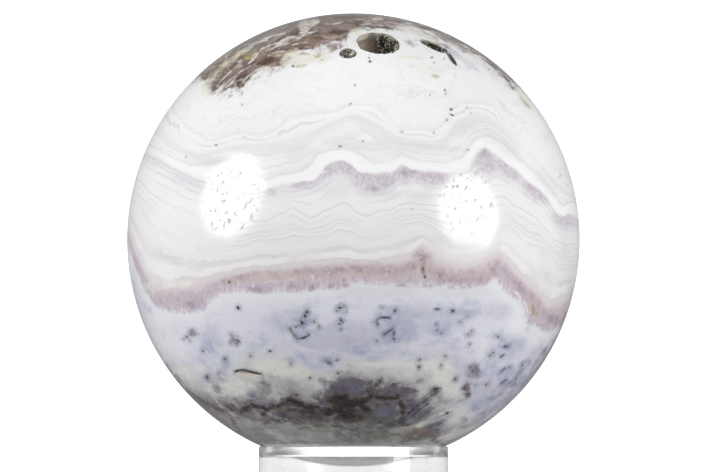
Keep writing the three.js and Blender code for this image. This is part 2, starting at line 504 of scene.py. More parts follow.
# %% Recipes
class Recipe:
    """One material, with the nodes that the stone's patterns need."""

    def __init__(self, name, **constants):
        self.material = bpy.data.materials.new(name)
        self.material.use_nodes = True
        self.tree = self.material.node_tree
        self.shader = self.tree.nodes["Principled BSDF"]
        for key, value in constants.items():
            self.shader.inputs[key.replace("_", " ")].default_value = value

    def node(self, kind, settings=(), sockets=(), output=0, stops=()):
        made = self.tree.nodes.new(kind)
        for key, value in dict(settings).items():
            setattr(made, key, value)
        for index, (position, colour) in enumerate(stops):
            element = made.color_ramp.elements[index] if index < 2 else \
                made.color_ramp.elements.new(position)
            element.position, element.color = position, colour
        for key, value in dict(sockets).items():
            if isinstance(value, Wire):
                self.tree.links.new(value.socket, made.inputs[key])
            else:
                made.inputs[key].default_value = value
        return Wire(self, made.outputs[output])

    def feed(self, **links):
        for key, value in links.items():
            self.tree.links.new(value.socket, self.shader.inputs[key.replace("_", " ")])

    def place(self, centre=BALL_CENTRE, turn=(0, 0, 0), stretch=(1, 1, 1)):
        """Where a point is, in millimetres from a centre, turned and stretched for streaks."""
        seat = self.node("ShaderNodeTexCoord", output="Object")
        centred = self.node("ShaderNodeMapping", {"vector_type": "TEXTURE"},
                            {"Vector": seat, "Location": centre, "Scale": (MM, MM, MM)})
        return self.node("ShaderNodeMapping", {"vector_type": "TEXTURE"},
                         {"Vector": centred, "Rotation": turn, "Scale": stretch})

    def length(self, place):
        return self.node("ShaderNodeVectorMath", {"operation": "LENGTH"}, {0: place},
                         output="Value")

    def noise(self, place, size, detail=2.0, rough=0.5):
        """A soft random value round 0.5 with lumps of this size in millimetres."""
        return self.node("ShaderNodeTexNoise", {}, {"Vector": place, "Scale": 1 / size,
                                                    "Detail": detail, "Roughness": rough})

    def streaks(self, stretch, size, detail, rough, turn=(0, 0, 0)):
        """Noise that is stretched along x, y and z."""
        return self.noise(self.place(turn=turn, stretch=stretch), size, detail, rough)

    def hairlines(self, depth):
        """A random value that only changes with depth, so it stays the same along a course."""
        return self.node("ShaderNodeTexNoise", {"noise_dimensions": "1D"},
                         {"W": depth, "Scale": 1.0, "Detail": 4, "Roughness": 0.6})

    def drawn(self, name):
        """A value that was drawn on the ball's vertices."""
        return self.node("ShaderNodeAttribute", {"attribute_name": name}, output="Fac")

    def step(self, value, low, high, start=0.0, end=1.0):
        """Goes smoothly from start to end as the value goes from low to high."""
        return self.node("ShaderNodeMapRange", {"interpolation_type": "SMOOTHSTEP"},
                         {"Value": value, "From Min": low, "From Max": high, "To Min": start,
                          "To Max": end})

    def inside(self, kind, ragged, low, high):
        """1 in the shapes drawn of a kind and 0 outside, over an edge that noise makes ragged."""
        return self.step(self.drawn(kind) + ragged, low, high, 1.0, 0.0)

    def mix(self, amount, first, second):
        return self.node("ShaderNodeMix", {"data_type": "RGBA"},
                         {0: amount, 6: first, 7: second}, output=2)

    def lay(self, colour, *coats):
        """Lays coats over a colour, each where its pattern goes from low to high in its mask."""
        for pattern, low, high, mask, *shade in coats:
            colour = self.mix(self.step(pattern, low, high) * mask, colour, tint(*shade))
        return colour

    def ramp(self, value, low, high, colours):
        """Blends colours that are given at values between low and high."""
        stops = [((at - low) / (high - low), colour) for at, colour in colours]
        part = self.node("ShaderNodeMapRange", {},
                         {"Value": value, "From Min": low, "From Max": high})
        return self.node("ShaderNodeValToRGB", {}, {"Fac": part}, stops=stops)


# %% [markdown]
# ## The courses of the stone
#
# The layers are drawn as the photograph shows them: each course is a line of points, from
# the left limb to the right one, in the picture's own pixels. A plain wave texture could band the
# ball too, but it would put no bend where this stone has one. Between two courses the level runs
# from one whole number to the next, so a colour that belongs to a layer is given by its level, and
# hairlines that follow the level bend with the layers.

# %% The courses
COURSES = {
    "cap edge": [
        (127, 84), (203, 78), (208, 91), (215, 92), (230, 87), (243, 89), (251, 78), (262, 71),
        (275, 70), (283, 66), (290, 56), (300, 51), (315, 49), (330, 47), (341, 45), (350, 34),
        (360, 29), (400, 27), (409, 24), (425, 31), (450, 41), (470, 52), (485, 63), (500, 75),
        (512, 85), (580, 88),
    ],
    "first hairline": [
        (127, 90), (165, 95), (174, 108), (182, 121), (194, 131), (204, 140), (213, 142),
        (228, 136), (236, 132), (254, 137), (266, 136), (279, 127), (294, 118), (316, 115),
        (338, 111), (354, 104), (364, 103), (375, 106), (390, 119), (402, 131), (425, 130),
        (434, 133), (447, 120), (451, 109), (470, 102), (490, 105), (500, 117), (508, 129),
        (530, 146), (550, 166), (580, 190),
    ],
    "second hairline": [
        (127, 104), (150, 120), (162, 136), (173, 146), (195, 157), (213, 152), (235, 148),
        (257, 146), (286, 142), (316, 132), (330, 124), (345, 117), (355, 115), (365, 119),
        (380, 128), (394, 136), (409, 140), (430, 142), (446, 139), (454, 127), (462, 120),
        (474, 114), (488, 116), (498, 125), (513, 137), (535, 158), (553, 180), (580, 204),
    ],
    "bright line": [
        (127, 130), (143, 143), (158, 149), (170, 155), (190, 165), (212, 160), (230, 157),
        (250, 166), (265, 180), (280, 175), (300, 170), (308, 165), (314, 155), (322, 150),
        (345, 148), (360, 151), (372, 162), (390, 161), (400, 153), (420, 159), (445, 162),
        (460, 158), (467, 148), (474, 139), (484, 134), (495, 136), (505, 143), (517, 155),
        (530, 167), (548, 184), (558, 199), (564, 205), (572, 199), (580, 208),
    ],
    "upper mauve": [
        (127, 143), (143, 152), (158, 156), (170, 163), (180, 170), (190, 175), (200, 178),
        (215, 182), (235, 190), (255, 191), (268, 188), (280, 184), (300, 181), (311, 181),
        (318, 177), (323, 169), (329, 162), (340, 159), (350, 163), (357, 171), (372, 173),
        (395, 170), (401, 162), (410, 168), (430, 170), (445, 172), (468, 168), (476, 151),
        (481, 147), (486, 147), (500, 157), (515, 169), (530, 182), (540, 189), (548, 197),
        (557, 212), (562, 217), (570, 211), (576, 216), (580, 220),
    ],
    "upper mauve foot": [
        (127, 150), (150, 166), (170, 176), (190, 188), (212, 193), (235, 200), (262, 201),
        (285, 198), (310, 191), (322, 184), (335, 174), (345, 175), (357, 188), (372, 193),
        (388, 192), (400, 180), (415, 180), (430, 187), (445, 186), (470, 184), (484, 181),
        (496, 174), (510, 182), (530, 196), (545, 208), (556, 226), (565, 228), (580, 232),
    ],
    "zigzag hairline": [
        (127, 168), (150, 192), (180, 208), (205, 217), (235, 224), (265, 220), (285, 213),
        (292, 207), (301, 212), (308, 218), (316, 217), (325, 210), (337, 205), (345, 203),
        (350, 204), (356, 211), (363, 215), (370, 215), (376, 212), (392, 210), (402, 203),
        (412, 202), (435, 205), (460, 206), (480, 200), (500, 196), (506, 196), (513, 204),
        (530, 213), (540, 222), (555, 240), (564, 244), (580, 243),
    ],
    "grey line": [
        (127, 196), (150, 222), (175, 239), (195, 244), (207, 247), (219, 251), (236, 251),
        (251, 246), (257, 242), (266, 244), (280, 244), (294, 240), (301, 242), (314, 240),
        (327, 240), (336, 235), (345, 235), (360, 241), (370, 240), (380, 236), (394, 232),
        (409, 228), (421, 225), (430, 229), (439, 237), (450, 245), (461, 248), (475, 246),
        (490, 238), (504, 229), (510, 230), (520, 242), (528, 249), (542, 251), (550, 257),
        (557, 265), (565, 269), (580, 269),
    ],
    "lower mauve": [
        (127, 226), (133, 246), (140, 262), (148, 279), (156, 289), (180, 288), (196, 286),
        (206, 282), (222, 277), (240, 273), (280, 268), (300, 266), (345, 263), (375, 264),
        (400, 261), (412, 257), (418, 250), (423, 246), (429, 252), (438, 261), (452, 266),
        (465, 267), (480, 263), (492, 257), (498, 254), (504, 261), (515, 273), (528, 282),
        (538, 294), (546, 306), (554, 307), (560, 303), (567, 299), (580, 292),
    ],
    "lower mauve teeth": [
        (127, 240), (135, 264), (145, 290), (155, 305), (170, 311), (190, 312), (203, 308),
        (212, 297), (222, 291), (240, 290), (260, 292), (295, 291), (320, 289), (335, 288),
        (347, 285), (360, 281), (375, 284), (400, 285), (418, 287), (430, 286), (440, 283),
        (455, 286), (470, 286), (485, 282), (496, 279), (503, 287), (510, 294), (522, 301),
        (530, 314), (538, 327), (548, 331), (560, 326), (580, 310),
    ],
    "fringe foot": [
        (127, 268), (145, 306), (160, 322), (180, 326), (205, 322), (220, 311), (240, 305),
        (270, 304), (300, 302), (330, 300), (360, 299), (390, 299), (420, 301), (440, 304),
        (460, 304), (480, 301), (497, 302), (510, 313), (522, 326), (535, 342), (550, 346),
        (565, 338), (580, 326),
    ],
    "cream top": [
        (127, 330), (160, 362), (190, 368), (215, 374), (232, 366), (245, 358), (255, 353),
        (275, 354), (295, 358), (302, 364), (312, 369), (325, 371), (338, 368), (346, 361),
        (362, 361), (380, 362), (400, 360), (415, 358), (440, 356), (452, 358), (457, 378),
        (462, 397), (470, 418), (500, 440), (580, 445),
    ],
    "dark top": [
        (127, 395), (190, 398), (215, 403), (233, 408), (242, 411), (250, 405), (270, 407),
        (281, 404), (289, 398), (306, 404), (318, 405), (325, 398), (332, 385), (345, 380),
        (362, 381), (375, 385), (392, 388), (405, 392), (414, 400), (420, 410), (430, 428),
        (440, 442), (460, 456), (580, 472),
    ],
    "dark foot": [
        (127, 410), (190, 407), (225, 418), (240, 421), (265, 422), (300, 427), (330, 429),
        (360, 431), (385, 430), (405, 428), (420, 432), (440, 450), (460, 462), (580, 484),
    ],
}
# how thick each layer is on the whole, in millimetres, from one course down to the next
LAYER_DEPTHS = [9.0, 2.4, 4.2, 1.9, 2.4, 4.2, 5.4, 4.4, 3.6, 2.6, 9.5, 6.0, 4.0]
print(len(COURSES), "courses", sum(LAYER_DEPTHS), "mm deep")

# %% [markdown]
# ## From a place on the ball to its level
#
# Each vertex is seen once through the camera's lens, and its height between two courses gives its
# level. The level is then kept on the vertices, so the layers stay with the stone in every view. A
# material that looked up the camera would let them slide.
# The layers run on through the stone, so its hidden back shows the same courses where they come out
# again. There a slow warp bends them, because no layer is the same on both sides.

# %% From a place on the ball to its level
PIXEL_MM = BALL_RADIUS / MM / BALL_RADIUS_IN_PICTURE
# the picture's columns that a course is read at, and over how many of them its corners are rounded
COLUMNS = np.arange(100, 610)
ROUNDING = np.hanning(11)
THINNEST_LAYER = 2.5
# above the first course and below the last one, a level is this many millimetres
OUTER_LEVEL_MM = 4
# each wave of the warp that bends the hidden side: its height in pixels, its radians per
# millimetre along x, y and z, and where it starts
SWAYS = [(46, (0, 1 / 17, 1 / 21), 0), (26, (1 / 9.5, -1 / 13, 0), 1.2),
         (12, (1 / 11, 1 / 4.5, 0), 0)]
SWELLS = [(30, (1 / 12, 1 / 11, 0), -0.6), (15, (1 / 5.2, 0, 1 / 14), 0.7),
          (14, (-1 / 9, 1 / 6, 0), 0)]
SWELL_LIFT = -12
# how soon the warp grows behind the limb
WARP_GROWTH, WARP_EASE = 3, 1.5


def in_picture(points):
    """Where points on the ball come in the picture, and how far each lies behind its limb."""
    forward = np.array(looking)
    right = np.cross(forward, (0, 0, 1))
    right /= np.linalg.norm(right)
    up = np.cross(right, forward)
    seen_from = points - np.array(camera_place)
    depth = seen_from @ forward
    across = picture_middle[0] + focal_pixels * (seen_from @ right) / depth
    down = picture_middle[1] - focal_pixels * (seen_from @ up) / depth
    behind = np.clip((points[:, 1] - BALL_CENTRE.y) / BALL_RADIUS, 0, 1)
    return across, down, behind


def drift(points, behind):
    """The slow warp, in pixels, that bends the layers on the hidden side."""
    from_centre = (points - np.array(BALL_CENTRE)) / MM
    sway, swell = (sum(height * np.sin(from_centre @ rates + start)
                       for height, rates, start in waves) for waves in (SWAYS, SWELLS))
    share = 1 - np.exp(-(WARP_GROWTH * behind) ** WARP_EASE)
    return sway * share, (swell + SWELL_LIFT) * share


def level_at(across, down):
    """The level of each point, and its depth in millimetres under the cap's edge."""
    lines = []
    for course in COURSES.values():
        jagged = np.pad(np.interp(COLUMNS, *zip(*course)), len(ROUNDING) // 2, "edge")
        smooth = np.convolve(jagged, ROUNDING / ROUNDING.sum(), "valid")
        lines.append(np.interp(across, COLUMNS, smooth))
    for index in range(1, len(lines)):
        lines[index] = np.maximum(lines[index], lines[index - 1] + THINNEST_LAYER)
    above = np.minimum(0, down - lines[0]) * PIXEL_MM
    below = np.maximum(0, down - lines[-1]) * PIXEL_MM
    depth = above + below
    level = depth / OUTER_LEVEL_MM
    for upper, lower, thickness in zip(lines, lines[1:], LAYER_DEPTHS):
        share = np.clip((down - upper) / (lower - upper), 0, 1)
        level, depth = level + share, depth + share * thickness
    return level, depth


# %% [markdown]
# ## Stains, clouds, plumes, specks and painted shade
#
# What lies between the courses is drawn as blobs and strokes, again where the picture shows them. A
# blob is an ellipse: its middle, its two half sizes and, if it is turned, its turn. A stroke is a
# half width and the points that it runs through. Each kind becomes one value on the vertices: how
# far it is, in pixels, to the edge of the nearest shape, less than nothing inside it. The shader
# roughens that edge with noise of every size, so that plain shapes look grown.

# %% Blobs
# middle, half width, half height, and turn in degrees where there is one
BLOBS = {
    "white": [
        (280, 96, 60, 12, -4), (412, 116, 30, 13), (345, 128, 10, 8), (425, 160, 50, 3),
        (300, 175, 30, 3, -8), (520, 250, 25, 12, 40), (185, 225, 35, 26, 10),
        (530, 150, 22, 10, 45), (516, 325, 8, 16, -20), (540, 342, 14, 5, 15),
        (170, 345, 22, 12, 40), (185, 373, 10, 4, 38), (330, 78, 60, 16, -3), (344, 43, 8, 9),
        (325, 50, 12, 3, -8), (218, 88, 9, 3, -20), (374, 33, 9, 4), (160, 270, 20, 9, 40),
        (158, 322, 12, 12, 30), (483, 357, 5, 18, 6), (467, 412, 9, 6, -20),
    ],
    "veil": [
        (365, 334, 58, 13), (425, 320, 42, 15), (505, 350, 22, 12, -20), (535, 365, 16, 12, -50),
        (505, 390, 36, 14, -38), (470, 404, 22, 8, -20), (290, 322, 26, 10), (335, 346, 40, 7, 5),
        (455, 370, 8, 14), (210, 340, 9, 16), (496, 312, 14, 8), (465, 312, 18, 8),
        (480, 392, 20, 12, -30), (225, 364, 5, 10), (500, 398, 30, 10, -36), (540, 358, 10, 16, 30),
        (470, 375, 12, 12),
    ],
    "cream": [
        (205, 384, 14, 5, 35), (236, 388, 22, 8), (275, 368, 24, 8, 3), (445, 372, 11, 12),
        (448, 390, 10, 7, -20), (430, 366, 22, 4), (440, 416, 18, 4, -25), (462, 412, 12, 6),
        (395, 364, 36, 2.4), (185, 372, 10, 4, 38), (178, 284, 16, 3, -6), (150, 288, 6, 3, 40),
        (300, 372, 14, 5, 20), (296, 414, 5, 2), (427, 421, 14, 2.4, -32), (452, 420, 10, 4, -20),
        (452, 434, 12, 4, -25), (204, 372, 8, 6, 40), (216, 392, 7, 4, 30),
    ],
    "lilac": [
        (182, 300, 27, 7, -6), (197, 303, 12, 7), (486, 160, 6, 11, -12), (507, 170, 11, 4, 38),
        (535, 192, 12, 4, 40), (563, 222, 8, 4), (135, 254, 4, 20, -14), (144, 282, 4, 11, -25),
        (550, 314, 9, 9), (558, 318, 8, 9), (540, 296, 6, 9, 30), (525, 290, 10, 5, 35),
        (512, 280, 8, 6, 40), (224, 288, 11, 5), (262, 289, 8, 3), (295, 288, 5, 3.4),
        (308, 285, 8, 3), (338, 283, 9, 3), (370, 282, 14, 3), (410, 283, 12, 3), (450, 282, 12, 4),
        (475, 282, 9, 4), (340, 268, 50, 3, -2), (500, 266, 5, 7), (326, 171, 6, 5, -45),
        (345, 169, 12, 7), (372, 181, 20, 9, 4), (405, 175, 10, 6, -8), (430, 178, 13, 6),
        (306, 182, 8, 2, -14),
    ],
    "plum": [
        (192, 305, 9, 3.4), (262, 289.5, 5, 2), (296, 289, 3.4, 2.4), (224, 281, 3, 1.6),
        (554, 320, 6, 6, 20), (545, 328, 7, 3, 25), (346, 285, 3, 1.6), (402, 284, 4, 1.6),
        (423, 254, 3.4, 5), (446, 281, 4, 2), (485, 153, 2.4, 4), (372, 189, 9, 2),
        (388, 181, 5, 1.6), (530, 320, 4, 7, -30), (270, 192, 5, 3), (408, 173, 9, 2.4),
        (259, 290, 6, 3), (263, 292, 3, 2.4), (292, 286, 5, 2.4), (296, 289, 3, 3.4),
        (312, 287, 6, 3), (332, 287, 5, 2.4), (250, 289, 2, 2),
    ],
    "rust": [
        (262, 277, 30, 4, -2), (300, 275, 22, 3.4, -2), (345, 275, 26, 3.4), (385, 275, 24, 3.4),
        (424, 266, 7, 10), (442, 276, 10, 4, 15), (470, 275, 16, 3, -6), (488, 272, 7, 6, -25),
        (531, 308, 5, 9, -20), (533, 318, 4, 8, -20), (232, 281, 8, 3.4), (265, 414, 3.4, 3),
        (486, 385, 3.6, 1.2, 15), (466, 391, 2, 5, -15), (470, 367, 1, 4, -20), (417, 430, 8, 2, 6),
        (470, 369, 6, 7), (487, 385, 5, 3, 10), (465, 388, 4, 5),
    ],
    "blue": [
        (300, 322, 7, 9, 15), (303, 333, 11, 5), (386, 315, 11, 8), (327, 361, 9, 4, -8),
        (452, 312, 8, 3), (442, 331, 9, 7), (505, 347, 9, 6), (205, 378, 7, 8, 30),
        (225, 364, 3, 9), (210, 346, 5, 10, -20), (495, 372, 20, 9, 25), (400, 330, 18, 12),
        (341, 313, 4, 10), (436, 418, 7, 2.4, -12), (388, 338, 10, 3, -30), (520, 380, 18, 7, 40),
        (480, 405, 18, 4, -30), (470, 312, 10, 4), (452, 52, 14, 3, 36), (470, 65, 12, 2, 36),
        (447, 402, 6, 2, -10),
    ],
    "teal": [
        (302, 318, 2.4, 4, 10), (301, 324, 3.4, 3), (296, 327, 2, 2), (207, 378, 3, 4, -30),
        (394, 331, 2, 4), (328, 362, 4, 2, 20), (386, 413, 6, 3), (357, 390, 5, 3),
    ],
    "dusk": [
        (411, 402, 6, 8), (326, 400, 7, 7), (290, 397, 9, 2, -15), (386, 411, 13, 9),
        (340, 406, 18, 8), (300, 414, 26, 6, 2), (392, 424, 20, 2), (437, 424, 12, 2.4, -20),
        (476, 371, 4, 7, -30), (467, 391, 3, 6, -12), (266, 420, 14, 2), (399, 391, 17, 6, 5),
        (347, 388, 19, 11), (372, 391, 6, 8), (424, 413, 7, 3, -35), (250, 401, 6, 2.4, -10),
    ],
    "moss": [
        (361, 415, 12, 8), (330, 420, 18, 2.4), (372, 386, 5, 4), (316, 396, 4, 3),
        (362, 432, 30, 11), (386, 423, 20, 6), (348, 423, 17, 5), (416, 435, 14, 6, 6),
        (433, 391, 5, 5, -30), (424, 401, 5, 3, -35), (414, 409, 4, 2.4, -40),
        (378, 384, 6, 3, -40), (356, 438, 14, 5), (303, 415, 22, 4, 2),
    ],
    "umber": [
        (340, 411, 13, 5), (353, 403.6, 15, 4, -12), (371, 397, 5, 4.6), (366, 409, 4, 3),
        (378, 405, 2, 1.6), (388, 404.6, 2, 1.5), (391, 414, 2.4, 1.6), (340, 398, 8, 4),
        (264, 413, 3.6, 3.2), (401, 421, 4, 4, 10), (296, 402, 8, 2, 8), (312, 407, 9, 2.2),
        (346, 417, 11, 3), (380, 397.6, 6, 2.6, 6), (392, 399.4, 6, 2, -6), (401, 404, 2.6, 3.4),
        (404, 411, 1.8, 4, -10), (402, 419, 3, 3, 10),
    ],
    "olive": [
        (265, 389, 4, 7, -15), (217, 389, 3, 5, -20), (323, 381, 6, 3, 10), (317, 396, 4, 4),
        (419, 366, 2.4, 3), (436, 391, 3.4, 4, -30), (449, 413, 5, 1.2, -22),
        (455, 379, 1, 2.6, 25), (420, 381, 2.4, 1.4), (442, 365, 2.4, 1), (465, 420, 1, 2),
        (380, 382, 5, 2.4), (467, 396, 2.6, 1.6), (235, 341, 5, 3, 35), (193, 335, 4, 4, 30),
        (344, 307, 4, 2.4), (341, 323, 2.4, 4), (423, 268, 3, 7, -10), (462, 400, 5, 1.2, -20),
        (353, 439, 10, 4.4, -8), (394, 437, 20, 6, 3), (380, 432, 12, 3), (316, 430, 20, 2, 4),
        (265, 388, 5, 7, -15), (264, 396, 3, 2), (325, 382, 4, 3), (376, 386, 4, 5, -30),
    ],
    "quartz": [
        (262, 40, 25, 6, -32), (292, 27, 26, 3.4, -18), (332, 28, 20, 5, -5), (334, 46, 9, 3, -5),
        (455, 44, 22, 2.4, 30), (388, 26, 18, 2.4, 5), (250, 68, 6, 2.4, -35), (282, 63, 4, 5),
        (410, 43, 6, 2.4, 20), (440, 395, 5, 5), (475, 368, 5, 6, -12), (467, 390, 4, 6, -15),
        (228, 418, 5, 8, -30), (214, 411, 10, 3, 35),
    ],
    "bark": [
        (301, 45, 15, 4.4, -6), (312, 40, 10, 4, -24), (263, 56, 11, 4.4, -34),
        (231, 75, 14, 5, -38), (348, 22, 8, 4), (330, 34, 12, 2.4, -6), (271, 61, 6, 3, -10),
        (300, 414, 12, 3), (412, 431, 9, 2.4, 8), (428, 435, 8, 2.6, -5), (405, 438, 8, 3),
        (425, 432, 14, 4, 4),
    ],
    "sepia_and_painted_shade": [
        (238, 80, 4.4, 3.4, -40), (222, 71, 5, 1.6, -20), (245, 69, 5, 1.6, -35),
        (270, 60, 6, 2.6, -20), (300, 30, 4, 3, -15), (296, 34, 3, 1.4), (338, 32, 10, 2, -4),
        (232, 86, 4, 1.2, -20), (345, 17, 16, 1), (376, 27, 16, 1.2, 4), (263, 63, 6, 1.4, -10),
        (222, 82, 6, 1.6, -50), (305, 48.6, 9, 1, -6), (420, 26, 12, 1.6, 22), (342, 404, 12, 9),
        (360, 401, 12, 4.6, -10), (352, 412, 8, 5), (300, 411, 16, 2, 6), (228, 407, 6, 3, 20),
        (348, 418, 16, 4.6), (332, 400, 6, 4), (380, 397.4, 8, 2.6, 4), (394, 398, 7, 2, -4),
        (401.6, 409, 2.6, 8, -6), (228, 409, 5, 1.6, 20), (264, 414, 3, 3), (246, 78, 5, 2.4, -40),
        (287, 59, 4, 1.6, -10), (318, 38, 6, 1.4, -8),
    ],
    "chalk": [
        (206, 86, 2.4, 10, 22), (292, 56, 9, 5, -15), (307, 60, 15, 5, -8), (322, 57, 8, 5),
        (304, 26, 5, 6, 20), (313, 23, 8, 3, -10), (284, 41, 9, 1, -25), (246, 50, 8, 1.6, -30),
        (415, 32, 11, 3, 25), (403, 28, 7, 2, 10), (428, 38, 8, 2.4, 28), (524, 100, 3, 13, -40),
        (362, 35, 5, 3), (377, 19, 7, 1.2), (286, 61, 5, 5), (355, 33, 6, 3, -20),
    ],
    "ochre": [
        (235, 57, 4, 2.4, -10), (247, 57, 6, 2, -5), (241, 54.6, 9, 1, -8), (218, 70, 6, 1.4, -45),
        (524, 102, 1.6, 8, -40), (534, 311, 2.4, 5, -20), (292, 51, 8, 1.2, -12), (305, 54, 5, 1.4),
        (318, 56, 3, 1.4, -30), (300, 66, 8, 1, -8), (436, 76, 5, 1, 10), (282, 406, 1.2, 0.9),
        (285, 409, 1.4, 1), (280, 410, 1, 0.8), (287.6, 405.6, 0.9, 0.8),
    ],
    "speck_and_painted_shade": [
        (242, 104, 1.2, 1), (220, 120, 1.1, 0.9), (216, 145, 1.1, 1), (186, 157, 0.8, 0.8),
        (274, 114, 0.7, 0.7), (355, 85, 1.1, 1.1), (340, 146, 1.6, 1.2), (445, 90, 1.1, 1.1),
        (446, 94, 0.8, 0.8), (430, 95, 0.8, 0.8), (451, 109.5, 1.7, 1.3), (452, 115, 2.6, 0.7, 20),
        (447, 120, 1, 1.4), (402, 132, 1.7, 1, 15), (434, 133, 0.8, 1), (363, 141, 1.4, 0.8),
        (412, 209, 0.9, 0.8), (467, 107, 0.8, 0.8), (471, 113, 0.7, 0.9), (560, 176, 1.2, 1.7),
        (468, 150, 1, 0.7), (293, 66, 1.7, 1), (322, 60, 1.8, 0.9, -30), (313, 48.6, 1.3, 0.8),
        (306, 49, 2, 0.8), (319, 45.6, 1.4, 0.7), (370, 61.6, 1.6, 1.4), (369, 57, 0.5, 2.4),
        (432, 57.5, 1.4, 1.2), (444, 58.6, 1, 1), (434, 63, 0.9, 0.8), (350, 104, 1.6, 0.6, -20),
        (229, 282, 1.4, 1.2), (238, 308, 2.2, 1.5, 45), (192, 330, 1, 1), (191.5, 334, 1.1, 1),
        (187, 337, 1.2, 1), (184, 339, 0.9, 0.9), (190, 341, 1, 0.8), (203, 351, 0.9, 1.1),
        (231, 335, 1.3, 0.7, 40), (234, 339, 1.8, 0.9, 40), (238, 341, 1.6, 1.6),
        (232, 342, 1, 0.7), (207, 377, 1.6, 2.4, -30), (225, 359, 1.2, 1), (219, 373, 1.1, 0.9),
        (250, 356, 1.1, 0.9), (270, 351, 1.4, 1), (291, 364, 0.9, 0.8), (217, 387, 1.2, 2, -30),
        # the first mark on the next line is painted shadow under the fissure's upper lip
        (241, 370.4, 4, 1, -14), (307, 312, 1.4, 1), (305, 316, 1, 1.6), (302, 323, 1.8, 1.7),
        (296, 327, 1.3, 1.1), (314, 322, 1.2, 1), (319, 327, 0.9, 1.9), (340, 308, 2.2, 1),
        (344, 305.5, 1.4, 0.8), (337, 311, 1, 0.8), (341, 320, 1.5, 1.6), (339, 324, 1.7, 1, -15),
        (341, 329, 1.4, 0.8), (329, 363, 2.4, 1.5, 25), (337, 360, 1.4, 0.9, -20),
        (310, 378, 1.4, 1.2), (395, 310.5, 1.4, 2.6, 10), (382, 307, 1.2, 0.8),
        (377.6, 324, 1.1, 2.4), (394, 333, 1, 2.2, 10), (394, 339, 1, 1.4), (377, 341, 1.1, 0.9),
        (437, 309, 3, 0.9, 8), (452.6, 311, 1.9, 1.8), (460, 322, 1.1, 0.8), (436, 325, 0.8, 0.8),
        (441, 333, 1.4, 0.8, -30), (437, 330, 0.8, 0.8), (467, 316, 0.8, 1.2),
        (468, 334.6, 1.4, 0.9, -38), (472, 330.6, 1.2, 0.8, -38), (470, 344, 1.2, 0.7, -40),
        (498, 336.6, 1.2, 1.1), (505, 346.6, 1.3, 1.3), (507.6, 346.6, 0.9, 1.1),
        (490, 355.6, 1.4, 0.9, -38), (493, 353, 1.4, 0.9, -38), (502, 356, 2.8, 0.9, -34),
        (420, 359.6, 1.3, 1), (419, 367, 1.8, 1.4), (445, 356, 1.1, 0.9), (441, 365, 1.2, 0.8),
        (455, 379, 0.8, 2, 25), (522, 366, 1.1, 2, 20), (509, 368, 1.2, 0.7, -40),
        (502, 383, 2.6, 0.8, -38), (506, 379.6, 1.4, 0.6, -50), (514, 384, 2.2, 0.8, -35),
        (516, 379, 2.4, 0.6, -10), (470, 366.6, 1, 1.2), (473, 371.6, 1, 1.4, -30),
        (464.6, 388, 1.2, 1.4), (468, 394, 1.6, 1), (467, 390, 0.8, 1.4), (425, 401, 3, 1.7, -35),
        (436, 389.6, 2.6, 2), (432, 395, 2, 2), (423, 270, 1.3, 3.4, -15), (425, 277, 2, 1.8),
        (430, 286, 1.1, 0.8), (389, 272, 1.1, 0.8), (475, 385, 0.8, 0.8), (437, 430, 2.6, 1, -20),
        (447, 413, 2.6, 0.8, -18), (465, 420, 0.9, 1.6), (346, 312, 0.7, 0.7), (475, 409, 1, 0.8),
        # the first mark on the next line is painted shade at the right limb
        (544, 351, 0.8, 3, 28), (325, 383, 1.8, 1, 20), (379, 381, 1.6, 1), (338, 373, 1.3, 1),
        (436, 390, 2.4, 2), (426, 399.4, 2.2, 1.6), (421, 402.6, 1.4, 1.2), (418, 405.6, 2, 1.5),
        (413, 410, 1.6, 1.2), (409, 413.4, 1.4, 1.4), (486, 384.6, 1.6, 0.8, 15),
        (476, 366, 1, 1.2), (470, 376, 0.8, 0.8),
    ],
    "mist": [
        (152, 158, 14, 5, 32), (188, 181, 20, 6, 22), (335, 188, 20, 8), (500, 140, 28, 8, 42),
        (545, 182, 16, 6, 50), (470, 128, 14, 8), (395, 147, 70, 5, 2), (342, 138, 22, 5, -12),
        (300, 154, 18, 6, -16), (420, 196, 14, 4), (240, 35, 10, 5, -30), (455, 240, 30, 5),
        (215, 160, 24, 4), (565, 240, 6, 20), (378, 193, 26, 6, 4), (380, 291, 44, 6),
        (462, 292, 30, 6),
    ],
    "slate_and_painted_shade": [
        (386, 411, 12, 8), (355, 389, 9, 6), (410, 398, 5, 6), (436, 418, 7, 2, -12),
        (252, 394, 7, 6), (343, 383, 12, 3, -6), (396, 389, 9, 3, 8), (320, 401, 5, 4),
        (268, 402, 8, 2), (294, 413, 6, 2.4), (259, 398, 6, 4),
    ],
    "pitted": [(231, 200, 30, 36), (467, 202, 29, 34), (205, 190, 5, 8), (262, 186, 6, 6)],
}
print(sum(map(len, BLOBS.values())), "blobs")

# %% Strokes
# seams that more than one kind of stain runs along; the two on the lower left limb are partly
# painted shade, the dark reflection there
RED_SEAM = [(246, 407), (253, 404), (258, 406), (266, 408), (272, 406), (277, 406), (283, 403),
            (288, 401), (296, 401), (301, 404), (305, 407), (311, 408), (319, 407), (324, 409),
            (329, 414), (336, 414)]
LOW_LEFT_SEAM_AND_LIMB_SHADE = [(190, 391.6), (200, 400), (210, 405.6), (218, 409.6), (227, 412)]
FOOT_SEAM_AND_LIMB_SHADE = [(231, 416), (234, 425), (239, 431.6), (249, 438), (259, 443.6)]
